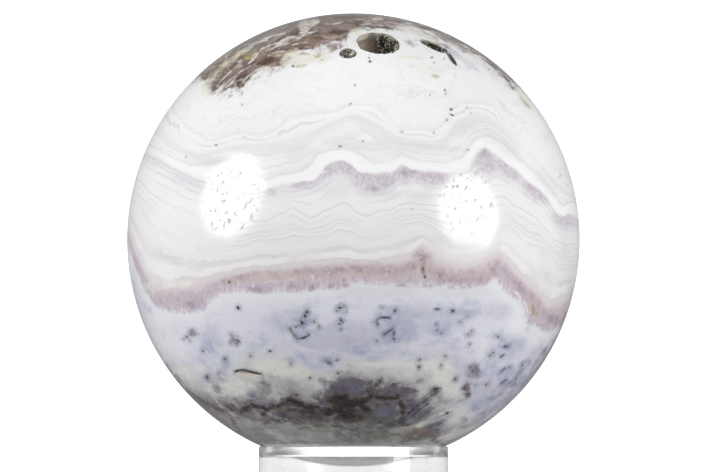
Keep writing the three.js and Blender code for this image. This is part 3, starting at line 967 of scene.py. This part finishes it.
# half width and the points that a stroke runs through
STROKES = {
    "white": [
        (1.2, [(143, 147), (158, 152), (172, 158), (188, 167)]),
        (1.6, [(268, 181), (290, 176), (308, 173), (316, 162), (325, 155), (345, 153),
            (358, 158), (372, 167), (392, 165), (402, 157), (420, 163), (445, 166), (468, 158),
            (478, 143), (489, 140), (503, 150), (520, 164), (540, 182), (553, 199), (562, 211)]),
    ],
    "snow": [
        (0.6, [(238, 283), (238.4, 291)]), (0.5, [(312, 274), (313, 281)]),
        (0.5, [(254, 282), (253, 287)]), (0.5, [(262, 283), (270, 281), (280, 282), (292, 279)]),
        (0.5, [(448, 283), (456, 287), (466, 284)]),
        (0.8, [(249, 63), (256, 56), (262, 49), (270, 45), (278, 43), (287, 38)]),
        (0.9, [(287, 38), (292, 37), (299, 38), (305, 34), (309, 28), (318, 21)]),
        (0.5, [(217, 86), (224, 78), (231, 71)]),
        (0.5, [(221, 88), (230, 80), (238, 73), (251, 66)]),
        (0.6, [(230, 85), (235, 78), (240, 72)]), (0.5, [(243, 82), (248, 76), (256, 71)]),
        (0.6, [(256, 70), (264, 67), (272, 69)]), (0.5, [(262, 40), (272, 36), (285, 33)]),
        (0.5, [(248, 45), (258, 42), (268, 40)]), (0.5, [(322, 24), (334, 24), (342, 22)]),
        (0.6, [(270, 50), (278, 46), (288, 43)]), (0.5, [(338, 41), (338.6, 51)]),
        (0.5, [(344, 39), (344.4, 49)]),
        (0.5, [(306, 290), (309, 293), (311.4, 294), (314, 291), (317, 288.6), (320, 291.6),
            (323, 289.6), (326, 287), (329, 290.6), (331.6, 292.6), (334, 289.6), (337, 286)]),
        (0.4, [(312, 296), (317, 292), (321, 295), (326, 291), (331, 295)]),
        (0.5, [(356, 284), (362, 282), (370, 283), (380, 281), (392, 284), (404, 283), (418, 287)]),
        (0.7, [(514, 291), (518, 294), (521, 299)]), (0.6, [(523, 300), (526, 306), (528, 312)]),
        (0.6, [(340, 282), (343, 284), (346, 282)]), (0.4, [(226, 87), (234, 82), (243, 79)]),
        (0.4, [(238, 62), (247, 58), (258, 53)]), (0.4, [(268, 56), (276, 52), (284, 51)]),
        (0.4, [(292, 45), (300, 43), (308, 42)]), (0.5, [(300, 33), (309, 33), (318, 31)]),
    ],
    "blue": [
        (1.2, [(250, 346), (275, 345), (292, 347), (301, 354), (308, 363), (318, 368), (330, 366)]),
        (0.4, [(433, 304), (446, 303.6), (460, 305), (476, 303)]),
        (0.5, [(345, 350), (371, 352), (396, 351), (412, 354)]),
    ],
    "chalk": [
        (1.2, [(237, 374.6), (246, 375.6), (257, 376.4)]),
        (1.6, [(208, 91), (210, 80), (218, 71), (228, 62), (240, 51)]),
        (0.4, [(400, 56), (415, 58), (428, 58)]), (0.4, [(408, 66), (424, 68), (440, 70)]),
        (0.5, [(424, 73), (430, 75), (436, 79)]), (0.4, [(462, 60), (472, 63), (480, 68)]),
    ],
    "umber": [(1.2, [(243, 411), *RED_SEAM])],
    "moss": [(1.2, [(262, 423), (280, 421), (300, 423), (330, 426), (380, 427)])],
    "teal": [(1.6, [(308, 312), (305, 317), (302, 323), (297, 327)])],
    "olive": [
        (1, [(437, 395), (428, 400), (420, 406), (410, 413), (400, 421)]),
        (0.6, [(396, 420), (408, 418), (418, 410)]),
    ],
    "speck_and_painted_shade": [
        (0.85, [(290, 328), (293, 334), (298, 339), (305, 337.5), (309, 335)]),
        (0.75, [(376, 322), (378, 319), (381, 317), (390, 318)]),
        (0.95, [(384, 335), (388.5, 331.5), (393, 328.5)]),
        # this stroke is painted shadow under the fissure's upper lip
        (0.65, [(235, 371.6), (242, 369.6), (248, 371), (256, 372.6), (262, 374.4)]),
        (0.55, [(501, 372), (505, 368), (509, 366)]), (0.85, [(428, 404), (420, 409), (412, 416)]),
        (0.55, [(438, 388), (434, 394), (425, 400), (418, 407), (410, 413), (402, 421)]),
    ],
    "vein_and_painted_shade": [
        (1, [(229, 411), (234, 409), (240, 411), *RED_SEAM]),
        # this stroke and the foot seam's stroke below hug the lower left limb: partly the stone's
        # dark line and partly painted shade
        (1.1, [(176, 375), (183, 384), *LOW_LEFT_SEAM_AND_LIMB_SHADE]),
        (0.6, [(226, 403), (232, 405), (237, 410), (242, 414)]), (1.2, FOOT_SEAM_AND_LIMB_SHADE),
        # this stroke is painted shadow under the fissure's upper lip
        (0.6, [(234.6, 372.6), (237.6, 370.4), (242.6, 369), (247.6, 370.4), (254, 372.4)]),
        (1.4, [(444, 50), (449, 54), (453, 60), (456, 64.6)]),
        (0.4, [(296, 424), (305, 427), (330, 425), (350, 429), (360, 432), (368, 440)]),
        (0.5, [(372, 430), (390, 434), (412, 438)]), (0.9, [(435, 430.6), (440, 429)]),
        # this stroke is painted shadow under the fissure's upper lip
        (0.5, [(254, 372.4), (259, 374), (263, 372)]),
    ],
    # the strokes below paint shade: the dark reflection along the ball's lower limbs
    "painted_limb_shade": [
        (1.1, [(166, 364), (176, 379), (188, 394), (203, 409), (220, 422), (240, 435), (258, 444)]),
        (0.7, [(566, 312), (560, 330), (550, 350), (536, 371), (518, 392), (501, 409),
            (481, 425), (458, 438), (446, 444)]),
    ],
    "sepia_and_painted_shade": [
        (1.2, [(428, 27), (445, 33), (462, 42), (478, 53), (492, 65), (504, 77), (514, 88)]),
        (2.4, [(243, 410), (253, 406), (266, 409), (283, 405), (296, 403), (305, 408),
            (319, 409), (329, 414)]),
        # this stroke hugs the lower left limb: partly the stone's dark stain and partly painted
        # shade, the dark reflection at the limb
        (3.6, [(188, 394), (200, 405), (214, 416.6), (228, 427), (242, 436), (258, 445)]),
        # this stroke runs along the top limb and paints its dark edge as painted shade; the two
        # after it, on the low left seams, are partly stain and partly painted shade
        (0.9, [(255, 37.6), (275, 28.4), (300, 21), (325, 16.4), (350, 14.8), (375, 16.4),
            (400, 20.2), (425, 26.8)]), (0.8, [(184, 386), *LOW_LEFT_SEAM_AND_LIMB_SHADE]), (0.9, FOOT_SEAM_AND_LIMB_SHADE),
        (1.4, [(242, 412), (250, 406), (259, 406), (268, 409), (277, 407), (286, 402), (296, 402)]),
        (1.2, [(262, 410), (264, 414), (266, 416)]),
    ],
    "slate_and_painted_shade": [
        # these two strokes paint shade along the lower right limb, where the dark reflection makes
        # it darker
        (2.6, [(556, 338), (543, 358), (528, 378), (510, 396), (492, 411), (472, 424)]),
        (1.6, [(528, 362), (517, 376), (505, 388), (490, 399)]),
    ],
    "heather": [
        (3.2, [(336, 270), (352, 268), (375, 270), (400, 271), (418, 264), (430, 270),
            (442, 276), (456, 280), (470, 281), (482, 278), (492, 272)]),
        (1.2, [(236, 279), (255, 274), (285, 272), (310, 270), (336, 270)]),
        (2.2, [(414, 256), (421, 252), (428, 257)]),
        (2.6, [(504, 270), (512, 279), (524, 290), (536, 300), (545, 314), (556, 320)]),
    ],
}
print(sum(map(len, STROKES.values())), "strokes")

# %% Drawing on the ball
FARTHEST = 14.0
# the nearest to a blob's middle that is told apart, as a share of its size
BLOB_HEART = 0.05


def to_blob(across, down, x, y, half_width, half_height, turn=0):
    angle = math.radians(turn)
    right, below = across - x, down - y
    along = right * math.cos(angle) + below * math.sin(angle)
    athwart = below * math.cos(angle) - right * math.sin(angle)
    shares = np.maximum(np.hypot(along / half_width, athwart / half_height), BLOB_HEART)
    return np.hypot(right, below) * (1 - 1 / shares)


def to_stroke(across, down, half_width, points):
    nearest = np.full(across.shape, FARTHEST + half_width)
    for (x1, y1), (x2, y2) in zip(points, points[1:]):
        run = (x2 - x1) ** 2 + (y2 - y1) ** 2
        share = np.clip(((across - x1) * (x2 - x1) + (down - y1) * (y2 - y1)) / run, 0, 1)
        gap = np.hypot(across - x1 - share * (x2 - x1), down - y1 - share * (y2 - y1))
        nearest = np.minimum(nearest, gap)
    return nearest - half_width


def draw_on(piece):
    """Writes the level, the depth and the nearness of every kind of shape on the vertices."""
    points = np.array([vertex.co for vertex in piece.data.vertices])
    across, down, behind = in_picture(points)
    sway, swell = drift(points, behind)
    across, down = across + sway, down + swell
    values = dict(zip(("level", "depth"), level_at(across, down)))
    for kind in dict.fromkeys([*BLOBS, *STROKES]):
        nearest = np.full(across.shape, FARTHEST)
        for to_shape, shapes in ((to_blob, BLOBS), (to_stroke, STROKES)):
            for shape in shapes.get(kind, []):
                nearest = np.minimum(nearest, to_shape(across, down, *shape))
        values[kind] = nearest
    for name, value in values.items():
        layer = piece.data.attributes.new(name, "FLOAT", "POINT")
        layer.data.foreach_set("value", value.astype(np.float32))
    print("drew", ", ".join(values), "on", len(points), "vertices")


# %% [markdown]
# ## The polished agate
#
# The material builds the stone up as nature did. First the level picks the layer's colour from a
# ramp. Then hairlines darken or brighten it: a noise that changes only with depth gives lines that
# keep their place along a course. Levels 0 to 4 are white bands, 4 to 5 the upper mauve one, 5 to
# 8 white bands again, 8 to 9 the lower mauve one and 9 to 10 its fringe, 10 to 11 the milky zone,
# 11 to 12 cream clouds, and from 12 on the dark base; the cap lies above level 0. Below level 9 the
# colours are partly painted light, made lighter for the light that the lower half lacks. Clouds,
# stains, plumes and specks follow, each with an edge roughened by noise and its shade broken up, as
# stains soak unevenly into stone. A few strokes and marks paint shade instead: the dark reflection
# along the limb and the shadow under the fissure's upper lip. The brown cap has a texture of its
# own, with pale needles that spread from one spot. Moss of every size covers the dark base. The
# polish is one smooth gloss. Two places are finely pitted, and show it where a lamp shines on them;
# each pit is rougher, and darkened as painted shade.

# %% The colours of the agate
# a ramp holds only so many colours, so the layers have one for the white bands and one below them
LAYER_COLOURS = tints(
    (0.0, 244, 244, 244), (0.5, 247, 247, 247), (0.93, 244, 244, 244), (1.02, 233, 233, 233),
    (1.15, 247, 247, 247), (1.8, 243, 243, 243), (2.0, 229, 229, 229), (2.25, 237, 237, 237),
    (2.6, 245, 245, 245), (2.95, 238, 238, 238), (3.05, 230, 230, 230), (3.2, 248, 248, 248),
    (3.8, 251, 251, 251), (4.02, 243, 242, 243), (4.2, 232, 230, 232), (4.6, 233, 231, 233),
    (5.0, 239, 239, 239), (5.5, 242, 242, 242), (5.93, 242, 242, 242), (6.0, 226, 226, 226),
    (6.1, 241, 241, 241), (6.5, 238, 238, 238), (6.93, 237, 237, 237), (7.02, 228, 227, 229),
    (7.12, 240, 240, 240), (7.4, 237, 236, 238), (7.7, 232, 228, 232), (8.0, 225, 217, 221))
# from level 9 on these colours are partly painted light: they were made lighter for the light that
# the lower half gets too little of from below, most of all from level 13 on, on the underside seen
# through the ring
DEEP_COLOURS_AND_PAINTED_LIGHT = tints(
    (8.0, 225, 217, 221), (8.15, 219, 207, 211), (8.4, 214, 201, 206), (8.65, 213, 201, 208),
    (8.85, 213, 203, 214), (9.0, 222, 218, 225), (9.1, 237, 238, 242), (9.6, 235, 236, 241),
    (10.0, 230, 231, 239), (10.5, 226, 226, 239), (10.9, 223, 223, 234), (11.0, 220, 220, 226),
    (11.12, 224, 225, 223), (11.5, 208, 208, 206), (11.8, 178, 176, 178), (12.0, 130, 121, 125),
    (12.3, 120, 112, 114), (12.7, 126, 122, 120), (13.0, 174, 173, 169), (13.35, 164, 162, 158),
    (13.65, 140, 137, 133), (14.0, 162, 159, 156), (14.5, 204, 202, 200), (18.0, 210, 208, 206))
# the cap's colours follow a noise, from its dark heart to its pale crystals
CAP_COLOURS = tints(
    (0.34, 60, 44, 38), (0.43, 90, 71, 60), (0.5, 117, 96, 84), (0.55, 139, 119, 105),
    (0.62, 184, 168, 152), (0.7, 226, 217, 202))
DEEP_START, DEEP_END = 8, 18
# each kind's colour, the softness and raggedness of its edge in pixels, how strong it is and how
# broken up; a kind covers those above it
SHADES = {
    "white": ((247, 247, 248), 6, 7, 0.6, 0.4),
    "mist": ((212, 212, 219), 9, 6, 0.38, 0.3),
    "veil": ((176, 176, 199), 9, 8, 0.46, 0.3),
    "cream": ((240, 240, 233), 4, 7, 0.8, 0.5),
    "heather": ((146, 122, 132), 6, 5, 0.5, 0.6),
    "plum": ((136, 116, 140), 3, 4, 0.5, 0.9),
    "dusk": ((88, 79, 94), 4, 6, 0.84, 0.5),
    "blue": ((152, 160, 196), 5, 7, 0.45, 0.5),
    "moss": ((60, 56, 50), 3, 5, 0.78, 0.55),
    "quartz": ((146, 131, 126), 3, 5, 0.75, 0.5),
    "bark": ((134, 108, 92), 3, 6, 0.6, 0.6),
    # a dark stain, which along the limb is partly painted shade as well
    "sepia_and_painted_shade": ((64, 34, 30), 2, 4, 0.88, 0.3),
    "chalk": ((234, 232, 216), 2.4, 5, 0.85, 0.45),
    "snow": ((242, 240, 240), 0.9, 1.4, 0.9, 0.3),
    "ochre": ((176, 160, 104), 1.6, 3.5, 0.7, 0.6),
    # the blobs of the next kind are stains; its strokes are painted shade along the lower right
    # limb
    "slate_and_painted_shade": ((124, 121, 140), 4, 6, 0.65, 0.6),
    "umber": ((28, 3, 5), 3.2, 6, 0.98, 0.45),
    # the next kind paints shade: the dark reflection along the ball's lower limbs
    "painted_limb_shade": ((84, 76, 88), 1.5, 1.2, 0.7, 0.2),
    # dark veins, and painted shade: the shadow under the fissure's lip and the dark line at the
    # lower left limb
    "vein_and_painted_shade": ((38, 22, 22), 1.2, 2.4, 0.85, 0.7),
    "teal": ((104, 116, 142), 3, 4, 0.55, 0.7),
    "olive": ((88, 86, 72), 3, 6, 0.6, 0.8),
}
CAP_HEART = outward_at(-43.6, 42.5) * BALL_RADIUS / MM
QUARTZ_IOR = 1.54
POLISH = 0.15
print(len(SHADES), "shades over", len(LAYER_COLOURS) + len(DEEP_COLOURS_AND_PAINTED_LIGHT), "layer colours")

# %% The layers and their grain
def banded_colour(stone, colour, place, level, depth):
    """Adds dark and bright hairlines to the white bands."""
    fading = stone.step(stone.noise(place, 7, 3), 0.34, 0.6)
    banded = (1 - stone.step(level, 7.7, 8.3)) * fading
    return stone.lay(
        colour,
        (stone.hairlines(depth * 1.35), 0.52, 0.62, banded * 0.5, 212, 211, 212),
        (stone.hairlines(depth + 40), 0.53, 0.6, banded * 0.5, 251, 251, 252))


def mauve_colour(stone, colour, level, rough):
    """Grows the crystal grain of the two mauve bands, with iron-stained places in the lower one."""
    flecks = stone.streaks((0.7, 0.7, 1.1), 0.7, 5, 0.75)
    clumps = stone.streaks((0.7, 0.7, 1.2), 1.6, 6, 0.75)
    near = stone.inside("lilac", rough * 5, -3, 12)
    upper = stone.step(level, 3.96, 4.1) * stone.step(level, 4.4, 5.7, 1.0, 0.0) * near
    lower = stone.step(level, 8.0, 8.3) * stone.step(level, 9.0, 9.3, 1.0, 0.0)
    rusty = stone.inside("rust", rough * 4, -3, 6)
    grain = stone.step(flecks, 0.62, 0.36) * 0.5 + 0.35
    colour = stone.mix(upper * grain, colour, tint(188, 172, 188))
    colour = stone.mix(lower * near * 0.3, colour, tint(186, 168, 186))
    stained = stone.step(flecks, 0.4, 0.6) * 0.45 + 0.12
    colour = stone.mix(rusty * stained, colour, tint(208, 190, 180))
    return stone.lay(
        colour,
        (clumps, 0.47, 0.36, rusty * 0.5, 160, 136, 130),
        (clumps, 0.5, 0.36, lower * 0.5, 172, 154, 170),
        (flecks, 0.46, 0.34, lower * 0.4, 166, 144, 154),
        (flecks, 0.55, 0.66, (lower + upper) * 0.6, 236, 231, 232))


def cloudy_colour(stone, colour, level):
    """Adds level veils to the milky zone, clouds to the cream one and sheets to the dark base."""
    milky = stone.step(level, 9.3, 10.0) - stone.step(level, 10.9, 11.3)
    creamy = stone.step(level, 10.9, 11.2)
    foot = stone.step(level, 12.6, 13.2)
    veils = stone.streaks((5, 5, 1), 1.4, 5, 0.65)
    billows = stone.streaks((1.6, 1.6, 1), 3.2, 6, 0.66)
    sheets = stone.streaks((7, 7, 0.8), 1.2, 5, 0.65)
    return stone.lay(
        colour,
        (veils, 0.4, 0.64, milky * 0.45, 236, 237, 243),
        (billows, 0.5, 0.3, milky * 0.5, 180, 180, 204),
        (billows, 0.5, 0.66, creamy * 0.5, 236, 236, 233),
        (billows, 0.49, 0.32, creamy * 0.5, 120, 117, 124),
        (sheets, 0.48, 0.3, foot * 0.5, 96, 92, 90),
        (sheets, 0.54, 0.7, foot * 0.4, 186, 187, 182))


# %% The cap, the moss and the specks
def cap_colour(stone, place):
    """Brown crystalline quartz, with pale needles that spread from one spot."""
    away = stone.node("ShaderNodeVectorMath", {"operation": "SUBTRACT"}, {0: place, 1: CAP_HEART})
    ray = stone.node("ShaderNodeVectorMath", {"operation": "NORMALIZE"}, {0: away})
    needles = stone.noise(ray, 0.12, 4, 0.7)
    lumps = stone.noise(place, 2.2, 8, 0.75)
    colour = stone.ramp(lumps, 0.2, 0.8, CAP_COLOURS)
    return stone.mix(stone.step(needles, 0.54, 0.66) * 0.5, colour, tint(206, 194, 192))


def mossy_colour(stone, colour, place, level):
    """Grows moss of every size over the dark base, dark and pale."""
    moss = stone.noise(place, 1.0, 8, 0.8)
    flakes = stone.noise(place, 0.6, 5, 0.75)
    near = stone.inside("dusk", (moss - 0.5) * 16, -1, 8) * stone.step(level, 11.2, 11.6)
    return stone.lay(
        colour,
        (moss, 0.5, 0.36, near * 0.7, 46, 34, 36),
        (flakes, 0.54, 0.68, near * 0.4, 140, 136, 142))


def speck_and_shade_colour(stone, colour, place, level, rough, mottle):
    """Adds the dark specks, each in a grey-blue haze with a dust of finer dots. A few marks are
    painted shade: under the fissure's upper lip and at the right limb.
    """
    sand = stone.noise(place, 0.3, 3, 0.7)
    deep = stone.step(level, 8.9, 9.3)
    haze = stone.inside("speck_and_painted_shade", rough * 3.5, -1, 5) * deep
    colour = stone.mix(haze * 0.36, colour, tint(112, 116, 142))
    dust = stone.step(sand, 0.56, 0.66) * stone.inside("speck_and_painted_shade", rough * 3, 0, 5)
    colour = stone.mix(dust * (deep * 0.5 + 0.2), colour, tint(70, 62, 62))
    heart = stone.inside("speck_and_painted_shade", (sand - 0.5) * 3 + mottle * 2, -0.8, 0.9)
    fresh = stone.step(stone.noise(place, 2.6, 3), 0.34, 0.6, 0.5, 1.0)
    either = stone.step(stone.noise(place, 3.5), 0.4, 0.6)
    return stone.mix(heart * fresh, colour, stone.mix(either, tint(46, 36, 30), tint(26, 28, 38)))


# %% The polished agate
def make_agate():
    stone = Recipe("polished agate", IOR=QUARTZ_IOR)
    place = stone.place()
    # slow and wave bend the layers, rough frays every edge, mottle and comb grain the lower mauve
    # band, and the scallops round off the bends
    slow = stone.noise(place, 5.5, 2) - 0.5
    wave = stone.noise(place, 2.0, 2) - 0.5
    rough = (stone.noise(place, 2.0, 8, 0.72) - 0.5) * 3.5
    mottle = stone.noise(place, 0.9, 5, 0.72) - 0.5
    comb = stone.streaks((0.7, 0.7, 1.3), 1.3, 5, 0.72) - 0.5
    scallops = stone.node("ShaderNodeTexVoronoi", {"feature": "SMOOTH_F1"},
                          {"Vector": place, "Scale": 0.55, "Smoothness": 0.3}, output="Distance")
    warp = slow * 0.55 + wave * 0.42 - (scallops - 0.45) * 0.3
    level = stone.drawn("level") + warp * 0.4
    near_teeth = stone.step(level, 8.4, 8.8) - stone.step(level, 9.2, 9.7)
    toothed = level + comb * near_teeth * 1.1 + mottle * stone.step(level, 7.2, 8.4) * 0.8
    loose = 1 - stone.step(level, 0.7, 1.6)
    depth = stone.drawn("depth") + warp * (loose * 3.5 + 1.5)

    upper = stone.ramp(toothed, 0, DEEP_START, LAYER_COLOURS)
    lower = stone.ramp(toothed, DEEP_START, DEEP_END, DEEP_COLOURS_AND_PAINTED_LIGHT)
    colour = stone.mix(stone.step(toothed, DEEP_START - 0.01, DEEP_START + 0.01), upper, lower)
    colour = banded_colour(stone, colour, place, level, depth)
    colour = mauve_colour(stone, colour, level, rough)
    colour = cloudy_colour(stone, colour, level)

    broken = stone.step(stone.noise(place, 1.1, 6, 0.75), 0.38, 0.58)
    for kind, (shade, soft, ragged, strength, gaps) in SHADES.items():
        # the cap lies over the clouds, and under its own quartz and stains
        if kind == "quartz":
            cap = 1 - stone.step(level + rough * 0.3, -0.22, 0.1)
            colour = stone.mix(cap, colour, cap_colour(stone, place))
        whole = stone.inside(kind, rough * ragged, -soft, soft) * strength
        colour = stone.mix(whole * (broken * gaps + (1 - gaps)), colour, tint(*shade))
    colour = mossy_colour(stone, colour, place, level)
    colour = speck_and_shade_colour(stone, colour, place, level, rough, mottle)

    pits_and_pit_shade = stone.step(stone.streaks((0.8, 1, 1.4), 0.75, 2, 0.6, turn=(0, 0.6, 0)), 0.6, 0.63)
    pits_and_pit_shade = pits_and_pit_shade * stone.inside("pitted", 0, -5, 3)
    # the pitted places are rougher, and darkened in colour as painted shade inside each pit
    stone.feed(Base_Color=stone.mix(pits_and_pit_shade * 0.34, colour, tint(110, 110, 112)),
               Roughness=pits_and_pit_shade * 0.85 + POLISH)
    return stone.material


# %% [markdown]
# ## The walls of the hollows, and the druse
#
# The walls were never polished, so they are dull. They are white where the bands reach them and tan
# with iron deeper down. The druse is dark smoky quartz: a cell pattern the size of the crystals
# gives each its own shade, and low roughness makes some of the faces flash.

# %% The walls and the druse
WALL_COLOURS = tints((0.3, 112, 96, 82), (0.45, 146, 128, 112), (0.7, 176, 162, 148))
DRUSE_COLOURS = tints((0.1, 26, 25, 23), (0.4, 56, 54, 47), (0.62, 108, 105, 92),
                      (0.8, 160, 157, 142), (1.0, 214, 212, 200))


def make_wall():
    wall = Recipe("hollow wall", Roughness=0.5)
    place = wall.place()
    lumps = wall.noise(place, 1.4, 4, 0.6)
    ragged = lumps - 0.5
    # the white bands end this far from the ball's middle, in millimetres
    near_face = wall.step(wall.length(place) + ragged * 1.2, 36.2, 37.6)
    colour = wall.mix(near_face * 0.75, wall.ramp(lumps, 0.3, 0.7, WALL_COLOURS),
                      tint(222, 220, 218))
    yellow = wall.inside("ochre", ragged * 0.8, 0.8, 1.6)
    colour = wall.mix(yellow * 0.75, colour, tint(176, 156, 98))
    pale = wall.inside("chalk", ragged * 0.8, 1.0, 2.2)
    colour = wall.mix(pale * 0.8, colour, tint(236, 228, 208))
    # dark where veins meet a wall, and as painted shadow under the fissure's upper lip
    dark = wall.inside("vein_and_painted_shade", ragged * 3, -0.5, 1.5)
    relief = wall.node("ShaderNodeBump", {}, {"Height": lumps, "Strength": 0.5,
                                              "Distance": 0.0003})
    wall.feed(Base_Color=wall.mix(dark * 0.85, colour, tint(48, 40, 36)), Normal=relief)
    return wall.material


def make_druse():
    druse = Recipe("druse", Roughness=0.12, IOR=QUARTZ_IOR)
    place = druse.place()
    cells = druse.node("ShaderNodeTexVoronoi", {}, {"Vector": place, "Scale": 2.6}, output="Color")
    each = druse.node("ShaderNodeSeparateColor", {}, {"Color": cells}, output="Red")
    shade = each * 0.8 + druse.noise(place, 1.2) * 0.4
    druse.feed(Base_Color=druse.ramp(shade, 0.1, 1.1, DRUSE_COLOURS))
    return druse.material


# %% [markdown]
# ## Clear acrylic and the floor
#
# The ring is see-through by plain transmission with acrylic's own refraction. Its outer wall is
# polished. The drill left its bore and its seat a little dull, with marks that run up the wall.
# The floor lies a hair below the ring, as a real foot never touches it everywhere; only so does
# the light leave the ring's foot. The sawn foot of such a ring gathers light and shines. Light
# paths can't show that well, so the floor glows a little there, and only as seen through the
# acrylic.

# %% Clear acrylic and the floor
ACRYLIC_IOR = 1.49
OUTER_POLISH = 0.02
FLOOR_GAP = 0.0001
FLOOR_RADIUS = 2.5
# the floor is lighter near the ring and darker farther out: a painted pool of light
FLOOR_COLOURS_AND_LIGHT_POOL = tints((20, 184, 184, 186), (160, 168, 168, 170))
FOOT_GLOW = 1.5
# the distance from the ring's axis in millimetres, and the share of the glow there
GLOW_SHARES = {11.5: 0.25, 13: 1.0, 16: 1.0, 18: 0.16, 60: 0.16, 90: 0.0}
AXIS = (0, 0, 0)


def make_acrylic():
    clear = Recipe("clear acrylic", Base_Color=tint(252, 252, 252), Transmission_Weight=1.0,
                   IOR=ACRYLIC_IOR)
    # so long a stretch leaves out the height, so the length is the distance from the axis
    radius = clear.length(clear.place(AXIS, stretch=(1, 1, 100000)))
    marks = clear.noise(clear.place(AXIS, stretch=(1, 1, 12)), 0.5, 3)
    bored = clear.step(radius, 12.9, 13.1, 0.12, 0.09) * clear.step(radius, 15.5, 15.6, 1.0, 0.0)
    clear.feed(Roughness=bored * (marks + 0.5) + OUTER_POLISH)
    return clear.material


def make_floor():
    bpy.ops.mesh.primitive_circle_add(vertices=96, radius=FLOOR_RADIUS, fill_type="NGON",
                                      location=(0, 0, -FLOOR_GAP))
    floor = bpy.context.object
    floor.name = "floor"
    pale = Recipe("pale floor", Roughness=0.7, Emission_Strength=FOOT_GLOW)
    from_ring = pale.length(pale.place(AXIS))
    shares = [(at, (share, share, share, 1)) for at, share in GLOW_SHARES.items()]
    seen = pale.node("ShaderNodeLightPath", output="Is Transmission Ray")
    pale.feed(Base_Color=pale.ramp(from_ring, 20, 160, FLOOR_COLOURS_AND_LIGHT_POOL),
              Emission_Color=pale.mix(seen, (0, 0, 0, 1), pale.ramp(from_ring, 10, 90, shares)))
    floor.data.materials.append(pale.material)


# %% [markdown]
# ## Putting it together
#
# Each piece is made, rides on the frame's one body, and stands for the plain solid that it refines.

# %% Putting it together
def seat(piece, node, slot):
    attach(piece, "root")
    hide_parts(node)


make_floor()
ball = make_ball(make_agate(), make_wall())
draw_on(ball)
seat(ball, "ball", "agate")
seat(make_ring(make_acrylic()), "ring_stand", "clear_acrylic")
druse = make_druse()
crystal = model_crystal()
for name in CRUSTS:
    seat(make_crust(name, crystal, druse), f"{name}_hollow_druse", "druse")
bpy.data.objects.remove(crystal)
